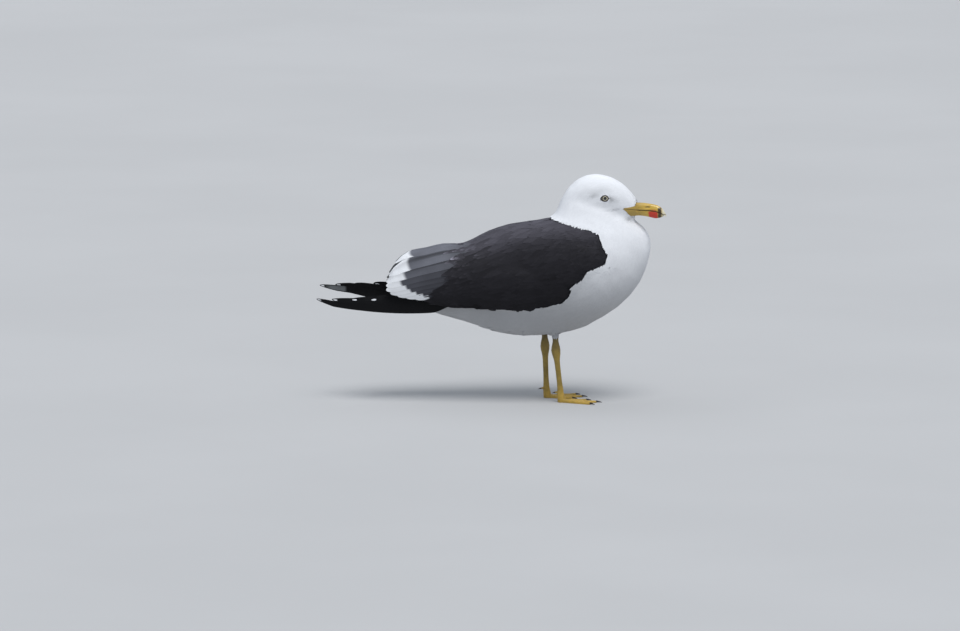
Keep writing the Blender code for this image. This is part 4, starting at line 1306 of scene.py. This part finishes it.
def tail_feathers(material):
    """Six pairs of white tail feathers, the middle pair on top."""
    fan = Surface(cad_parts["tail"])
    low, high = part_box("tail")
    root, end = high.x / MM, low.x / MM

    def drape(spots):
        """The same places moved down on to the fan, and bent down beside it."""
        flat = spots.reshape(-1, 3).copy()
        y = np.clip(flat[:, 1], -FAN_HALF, FAN_HALF)
        above = stack(np.clip(flat[:, 0], end + 1.5, root - 1.5), y, OUTSIDE)
        hit, _ = fan.cast(above, np.broadcast_to((0.0, 0.0, -1.0), above.shape))
        flat[:, 2] = hit[:, 2] - 0.004 * np.maximum(np.abs(flat[:, 1]) - FAN_HALF, 0.0) ** 2
        return flat.reshape(spots.shape), np.broadcast_to((0.0, 0.0, 1.0), spots.shape)

    coat = Coat(PLUME_BLEND)
    for k in range(TAIL_PAIRS):
        for side in (1, -1):
            x = root + 4.0 + (end + 0.9 * k - root - 4.0) * DOWN
            y = side * ((1.2 + 0.9 * k) + (1.5 + 1.15 * k) * DOWN)
            halves = plume_half_widths(19.0, 0.55, 0.75, 3.4) * (1.0 - 0.03 * k)
            lift = np.full(PLUME_ROWS, -0.15 - 0.42 * k - (0.2 if side > 0 else 0.0))
            sides = np.broadcast_to((0.0, 1.0, 0.0), (PLUME_ROWS, 3))
            no_tip = (2.0, 3.0, 0.01)
            cell = 2 * k + (side > 0)
            spine = stack(x, y, 0.0)
            lay_plume(coat, spine, sides, halves, drape, lift, WHITE, no_tip, cell, 2 * TAIL_PAIRS, 0.25)
    coat.build("tail_feathers", material, ("tail",))


# ---------------------------------------------------------------- bill, eyes and claws

# Key sections of the two halves of the bill, in the head's frame: forward, top, bottom, half width
UPPER_BILL = (
    (50.0, -6.0, -14.6, 7.0),
    (61.0, -5.2, -15.2, 7.2),
    (70.0, -5.6, -15.6, 6.2),
    (79.0, -6.6, -16.0, 5.4),
    (87.0, -8.2, -16.6, 4.8),
    (92.5, -11.0, -18.0, 4.1),
    (96.5, -14.8, -20.4, 3.1),
    (99.0, -18.6, -23.0, 2.2),
    (100.2, -21.8, -24.2, 1.2),
)
LOWER_BILL = (
    (48.0, -14.8, -25.0, 6.8),
    (60.0, -15.4, -23.6, 6.6),
    (70.0, -15.8, -24.2, 5.4),
    (79.0, -16.2, -26.0, 4.6),
    (85.5, -16.8, -27.2, 4.2),
    (90.5, -17.8, -26.2, 3.5),
    (94.5, -19.7, -25.0, 2.3),
    (96.8, -21.4, -23.6, 1.0),
)
NOSTRIL = (74.5, -10.7)  # forward, up
NOSTRIL_SIZE = (4.4, 0.85)  # its half length and half height
# The line of the mouth, from the gape to the tip: up over forward
MOUTH = (
    (40.0, -12.4), (45.0, -13.2), (52.0, -14.6), (62.0, -15.3), (79.0, -16.1), (90.0, -17.6), (98.0, -21.5),
)
# The bare horn beside the gape: its upper and lower edge, up over forward
GAPE_TOP = ((40.5, -12.2), (45.0, -11.7), (50.0, -10.9), (55.0, -9.8), (58.0, -9.0), (71.0, -8.8))
GAPE_LOW = (
    (40.5, -12.8), (43.0, -14.6), (46.0, -17.6), (48.5, -21.5), (51.0, -24.0), (55.0, -23.8), (71.0, -22.2),
)
# How far out the cheek lies there, over forward
CHEEK = ((40.0, 15.5), (50.0, 10.6), (58.0, 7.6), (72.0, 5.8))


def soft_table(rows, column, x):
    """A smooth curve through a column of rows: the mean of the straight one over a little way each side."""
    half = 2.2
    room = np.clip(np.minimum(x - rows[0][0], rows[-1][0] - x) / half, 0.0, 1.0)
    spots = x[:, None] + np.linspace(-half, half, 9)[None, :] * room[:, None]
    return np.interp(spots, [r[0] for r in rows], [r[column] for r in rows]).mean(1)


def bill_half(name, rows, upper, material, replaced):
    """One half of the bill, lofted from its sections: a round ridge, full sides and a sharp cutting edge."""
    count, around = 90, 48
    f = rows[0][0] + (rows[-1][0] - rows[0][0]) * (1 - (1 - np.linspace(0, 1, count)) ** 1.5)
    top, bottom, wide = (soft_table(rows, k, f) for k in (1, 2, 3))
    edge, ridge = (bottom, top) if upper else (top, bottom)
    a = 2 * math.pi * np.arange(around) / around
    out, up = np.sin(a), np.cos(a)
    lip = 0.35  # where a section's outside ends; the rest is the hollow within the cutting edge
    outer = up > -lip
    rise = np.where(outer, (up + lip) / (1 + lip), 0.0)
    hollow = np.where(outer, 0.0, 0.12 * (1 - np.abs(out) ** 4))
    width = np.where(outer, np.sign(out) * np.abs(out) ** 0.85 * (0.90 + 0.10 * (1 - rise)), out * 0.9)
    s = wide[:, None] * width[None, :]
    u = edge[:, None] + (ridge - edge)[:, None] * (rise ** 1.12 + hollow)[None, :]
    if upper:
        # the nostril in its long groove
        hole = ((f[:, None] - NOSTRIL[0]) / NOSTRIL_SIZE[0]) ** 2 + ((u - NOSTRIL[1]) / NOSTRIL_SIZE[1]) ** 2
        groove = np.exp(-(((u - NOSTRIL[1] + 1.6) / 0.9) ** 2)) * smooth_step(54, 62, f)[:, None]
        groove = groove * (1 - smooth_step(76, 86, f))[:, None]
        s = s - np.sign(s) * np.minimum(1.1 * np.exp(-hole) + 0.3 * groove, np.abs(s))
    middle = (edge + ridge) / 2
    ends = [[f[0] - 0.5, 0.0, middle[0]], [f[-1] + 0.5, 0.0, middle[-1]]]
    points = head.world(np.concatenate([stack(f[:, None], s, u).reshape(-1, 3), ends]))
    first, last = np.arange(around), np.arange(around) + (count - 1) * around
    near = stack(count * around, np.roll(first, -1), first)
    far = stack(count * around + 1, last, np.roll(last, -1))
    obj = new_mesh(name, points, [*ring_quads(count, around), *near, *far])
    weld(obj)
    dress(obj, material, replaced)
    return obj


def gape(word, side, material, trees):
    """The bill's horn where it runs back on the cheek as a wedge to the gape, with the line of the mouth."""
    f = np.linspace(40.6, 71.0, 52)[:, None]
    high, low = table(GAPE_TOP, f), table(GAPE_LOW, f)
    share = np.linspace(0, 1, 26)[::-side]
    u = high + (low - high) * share[None, :]
    cheek = table(CHEEK, f)
    on_side = head.side_reach(trees, np.broadcast_to(f, u.shape), u, side)
    on_side = np.clip(on_side, cheek - 2.5, cheek + 2.0)
    for _ in range(3):
        on_side[:, 1:-1] = (on_side[:, :-2] + 2 * on_side[:, 1:-1] + on_side[:, 2:]) / 4
        on_side[1:-1] = (on_side[:-2] + 2 * on_side[1:-1] + on_side[2:]) / 4
    # it swells from its rim, sinks into the bill ahead, and has a groove along the mouth
    rim = np.minimum(share, 1 - share) * 2
    puff = 0.6 * np.minimum(1.0, rim / 0.35)[None, :] ** 0.5 * smooth_step(40.4, 44.0, f)
    puff = puff * (1 - smooth_step(48.0, 62.0, f)) - 0.7 * smooth_step(58.0, 71.0, f)
    puff = puff - 0.5 * np.exp(-(((u - table(MOUTH, f)) / 0.5) ** 2)) * (1 - smooth_step(60.0, 66.0, f))
    outer = stack(f, side * (on_side + puff), u)
    coat = Coat()
    coat.add(
        head.world(outer)[None], np.broadcast_to(side * head.axes[1], (1, *outer.shape)), np.array([1.2]),
        np.ones((1, *outer.shape)), np.array([[0.5, 0.02]]), np.array([0.5]), size=(0.9, 0.9),
    )
    coat.build(f"gape_{word}", material)


# The horn's colours
HORN = ((0.56, 0.35, 0.045), (0.70, 0.47, 0.085))
HORN_AT_GAPE = (0.42, 0.28, 0.055)
SPOT_RED = (0.62, 0.035, 0.012)
BAND_DARK = (0.018, 0.012, 0.010)
TIP_PALE = (0.72, 0.66, 0.48)
MOUTH_PAINTED_SHADE = (0.10, 0.055, 0.015)
NOSTRIL_PAINTED_SHADE = (0.05, 0.03, 0.012)


def bill_material():
    """Yellow horn with a red spot on the gonys, a dark band behind the pale tip, and painted shade along the
    line of the mouth and in the nostril.
    """
    n = Nodes("bill_horn")
    local = n.add("ShaderNodeVectorMath", operation="SUBTRACT")
    n.put(local.inputs[0], n.place())
    n.put(local.inputs[1], tuple(c * MM for c in head.middle))
    parts = []
    for axis in (head.forward, Vector((0, 0, 1))):
        dot = n.add("ShaderNodeVectorMath", operation="DOT_PRODUCT")
        n.put(dot.inputs[0], local.outputs[0])
        n.put(dot.inputs[1], tuple(axis / MM))
        parts.append(dot.outputs["Value"])
    f, u = parts
    wavy_f = n.plus(f, n.maths("MULTIPLY_ADD", n.noise(260.0, 3.0), 3.0, -1.5))
    streak = n.noise(240.0, 4.0, 0.6, stretch=(0.25, 1.0, 1.6))
    base = n.mix(n.span(streak, 0.3, 0.7), *HORN)
    base = n.mix(n.span(f, 78.0, 56.0), base, HORN_AT_GAPE)
    from_spot = n.maths("ABSOLUTE", n.minus(wavy_f, 82.5))
    on_lower = n.times(n.span(from_spot, 7.8, 5.2), n.span(u, -16.0, -18.2))
    on_upper = n.times(n.span(from_spot, 6.0, 3.0), n.span(u, -13.0, -16.0))
    base = n.mix(n.maths("MAXIMUM", on_lower, n.times(on_upper, 0.75)), base, SPOT_RED)
    band = n.times(n.span(wavy_f, 88.5, 90.5), n.span(wavy_f, 95.5, 93.0))
    band = n.times(band, n.span(u, -10.5, -12.5))
    base = n.mix(n.times(band, 0.93), base, BAND_DARK)
    base = n.mix(n.span(wavy_f, 93.0, 96.5), base, TIP_PALE)
    # painted shade along the line of the mouth, whose height is a little simpler than MOUTH
    mouth = n.plus(n.span(f, 40.0, 62.0, -12.4, -15.4, smooth=False), n.span(f, 79.0, 98.0, 0.0, -5.5))
    edge = n.span(n.maths("ABSOLUTE", n.minus(u, mouth)), 0.9, 0.15)
    base = n.mix(n.times(edge, 0.8), base, MOUTH_PAINTED_SHADE)
    # painted shade in the nostril
    down = n.over(n.minus(f, NOSTRIL[0]), NOSTRIL_SIZE[0] * 0.95)
    out = n.over(n.minus(u, NOSTRIL[1]), NOSTRIL_SIZE[1] * 0.8)
    base = n.mix(n.span(n.squares(down, out), 1.15, 0.6), base, NOSTRIL_PAINTED_SHADE)
    roughness = n.span(streak, 0.2, 0.8, 0.28, 0.42)
    return n.finish(base, roughness, n.bump(streak, 0.25, 0.0003), Coat_Weight=0.25)


def bills():
    material = bill_material()
    halves = (
        bill_half("beak_upper", UPPER_BILL, True, material, ("bill_upper",)),
        bill_half("beak_lower", LOWER_BILL, False, material, ("bill_lower",)),
    )
    trees = [tree_of(("head",)), *(Surface(half).tree for half in halves)]
    for word, side in SIDES:
        gape(word, side, material, trees)


# How far from the eye's axis its rings lie, where each begins and is full
PUPIL_RIM = (2.35, 2.15)
IRIS_RIM = (3.4, 4.0)
BALL_RIM = (4.1, 4.4)
# The lid's opening and its outer rim, half their length and height
LID_OPENING = (3.9, 3.25)
LID_RIM = (5.5, 4.75)

IRIS = ((0.42, 0.37, 0.24), (0.66, 0.62, 0.47))
IRIS_EDGE = (0.12, 0.09, 0.05)
PUPIL_BLACK = (0.004, 0.004, 0.004)
SOCKET_PAINTED_SHADE = (0.02, 0.012, 0.010)
LID_DARK = ((0.007, 0.005, 0.005), (0.028, 0.013, 0.011))
CLAW_DARK = ((0.012, 0.010, 0.009), (0.045, 0.036, 0.030))
CLAW_GROWTH = 1.2  # against the solid, from the claw's tip, so that its base sinks into the toe


def eye_material():
    """The iris and pupil, told by how far from the eye's axis, with painted shade on the ball beyond them,
    under a clear cornea.
    """
    n = Nodes("eye")
    reach = n.parts("vane")[0]
    spokes = n.noise(9.0, 4.0, 0.7, vector=n.attribute("vane", "Vector"), stretch=(0.6, 9.0, 1.0))
    iris = n.mix(n.span(spokes, 0.3, 0.7), *IRIS)
    iris = n.mix(n.span(reach, *IRIS_RIM), iris, IRIS_EDGE)
    colour = n.mix(n.span(reach, *PUPIL_RIM), iris, PUPIL_BLACK)
    # painted shade on the ball beyond the iris, as in its socket
    colour = n.mix(n.span(reach, *BALL_RIM), colour, SOCKET_PAINTED_SHADE)
    return n.finish(colour, 0.12, Coat_Weight=1.0, Coat_Roughness=0.03)


def eyes():
    """Each eye as a ball with a slight cornea, in a dark ring of bare lid."""
    ball = eye_material()
    lid = grained_material("eyelid", 1400.0, *LID_DARK, 0.5, 0.4)
    rings, around = 28, 40
    polar = (math.pi * (np.arange(rings + 1) / rings) ** 1.25)[:, None]
    a = (2 * math.pi * np.arange(around) / around)[None, :]
    for word, side in SIDES:
        low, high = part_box(f"eye_{word}")
        radius = (high.z - low.z) / 2 / MM
        middle = (low + high) / 2 / MM
        outward = Vector(np.array((0.10, side, 0.04)) @ head.axes).normalized()
        turn = np.array(outward.to_track_quat("Z", "Y").to_matrix())
        reach = radius * np.sin(np.minimum(polar, 1.5))
        sunk = 0.30 * smooth_step(4.5, 5.6, reach)
        bulge = radius * (1.0 + 0.05 * np.exp(-((polar / 0.5) ** 2)) - sunk)
        spots = stack(np.sin(polar) * np.cos(a), np.sin(polar) * np.sin(a), np.cos(polar)) * bulge[..., None]
        points = np.array(middle) + spots.reshape(-1, 3) @ turn.T
        obj = new_mesh(f"eye_{word}_ball", points, ring_quads(rings + 1, around))
        from_axis = np.where(polar < 1.5, reach, radius)
        add_attribute(obj, "vane", stack(from_axis, a, 0.0).reshape(-1, 3))
        weld(obj)
        dress(obj, ball, (f"eye_{word}",))
        lids(word, side, head.local([middle])[0], radius, lid)


def lids(word, side, centre, radius, material):
    """The ring of bare lid round one eye, pointed fore and aft: from the eyeball out to the feathers."""
    around, across = 72, 12
    a = (2 * math.pi * np.arange(around) / around)[:, None]
    b = (2 * math.pi * np.arange(across) / across)[None, :]
    corner = np.abs(np.cos(a)) ** 5
    out = 0.5 + 0.5 * np.cos(b)  # 1 on the lid's outer rim, 0 on its inner one
    inner = stack((LID_OPENING[0] + 0.5 * corner) * np.cos(a), (LID_OPENING[1] - 0.2 * corner) * np.sin(a))
    outer = stack((LID_RIM[0] + 1.1 * corner) * np.cos(a), (LID_RIM[1] - 0.4 * corner) * np.sin(a))
    spots = inner + (outer - inner) * out[..., None]
    f, u = centre[0] + spots[..., 0], centre[2] + spots[..., 1]
    cheek = head.side_reach([HEAD_TREE], f, u, side) - side * centre[1] - 0.1
    ball = np.sqrt(np.maximum(radius ** 2 - (spots ** 2).sum(-1), 0.0)) + 0.08
    level = np.maximum(ball, cheek) - 0.5 * out ** 2
    level += np.where(np.sin(b) > 0, 0.5, 1.0) * np.sin(b)
    points = head.world(stack(f, centre[1] + side * level, u).reshape(-1, 3))
    obj = new_mesh(f"eye_{word}_lid", points, ring_quads(around, across, closed=True))
    weld(obj)
    dress(obj, material)


def claws():
    """Each claw, rounded, with its base sunk into the end of its toe."""
    material = grained_material("claw_horn", 900.0, *CLAW_DARK, 0.35, 0.3)
    for name in [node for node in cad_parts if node.startswith("claw_")]:
        tip, _ = claw_line(name)
        tool = solids_of((name,))
        bmesh.ops.remove_doubles(tool, verts=tool.verts, dist=1e-5)
        points = np.array([v.co for v in tool.verts]) / MM
        faces = [[v.index for v in face.verts] for face in tool.faces]
        tool.free()
        obj = new_mesh(name.replace("claw", "nail"), tip + (points - tip) * CLAW_GROWTH, faces)
        rounder = obj.modifiers.new("rounder", "SUBSURF")
        rounder.levels = rounder.render_levels = 2
        bake_modifiers(obj)
        dress(obj, material, (name,))


# ---------------------------------------------------------------- the bird


skin_surface, leg_guides = joined_skin()
body_coat(skin_surface, leg_guides)
cloak = Cloak()
wing_coat(cloak)
grey_flight = flight_material("tertial_plumage", 520.0, 0.0002, 0.6)
black_flight = flight_material("primary_plumage", 900.0, 0.0002, 0.5, spotted=True)
for word, side in SIDES:
    tertials(cloak, word, side, grey_flight)
    primaries(word, side, black_flight)
tail_feathers(grey_flight)
bills()
eyes()
claws()


# ---------------------------------------------------------------- floor, light and camera

VIEW_ELEVATION = 8.0  # degrees above the horizon
VIEW_DISTANCE = 12.0  # metres
VIEW_WIDTH = 1.363  # metres across the picture, at the bird
VIEW_TARGET = (-0.0159, 0.0, 0.1212)
LIT_SPOT = (0.0, 0.0, 0.15)  # what the lamps point at


def floor():
    """A plain pale floor, under the bird's feet."""
    bpy.ops.mesh.primitive_circle_add(vertices=96, radius=60.0, fill_type="NGON")
    obj = bpy.context.object
    obj.name = "floor"
    n = Nodes("pale_floor")
    tone = n.span(n.noise(1.5, 3.0), 0.3, 0.7, 0.49, 0.51)
    obj.data.materials.append(n.finish(n.tint((1.0, 1.0, 1.0), tone), 0.85))


def aim(obj, place, way):
    """Puts a lamp or the camera at a place, turned to look along a way."""
    obj.location = place
    obj.rotation_mode = "QUATERNION"
    obj.rotation_quaternion = way.to_track_quat("-Z", "Y")


def lamp(name, place, spread_angle, power, colour):
    """A far, soft lamp that shines from this side."""
    light = bpy.data.lights.new(name, "SUN")
    light.angle = math.radians(spread_angle)
    light.energy = power
    light.color = colour
    aim(new_object(name, light), place, Vector(LIT_SPOT) - Vector(place))


def studio():
    """A broad soft light high on the viewer's side and ahead of the bird, under a pale sky."""
    world = bpy.data.worlds.new("studio")
    world.use_nodes = True
    sky = world.node_tree.nodes["Background"].inputs
    sky["Color"].default_value = (0.76, 0.85, 0.98, 1.0)
    sky["Strength"].default_value = 0.42
    bpy.context.scene.world = world
    lamp("key", (0.8, -1.7, 4.2), 34.0, 2.25, (0.98, 0.98, 0.985))
    lamp("fill", (-1.6, 1.6, 4.0), 60.0, 0.55, (0.93, 0.96, 1.0))
    bpy.context.scene.view_settings.view_transform = "Standard"


def camera():
    """The photograph's view: from the bird's right and a little above, through a long lens."""
    data = bpy.data.cameras.new("camera")
    data.sensor_width = 36.0
    data.lens = data.sensor_width * VIEW_DISTANCE / VIEW_WIDTH
    data.clip_end = 200.0
    obj = new_object("camera", data)
    rise = math.radians(VIEW_ELEVATION)
    back = Vector((0.0, -math.cos(rise), math.sin(rise)))
    aim(obj, Vector(VIEW_TARGET) + back * VIEW_DISTANCE, -back)
    bpy.context.scene.camera = obj


floor()
studio()
camera()
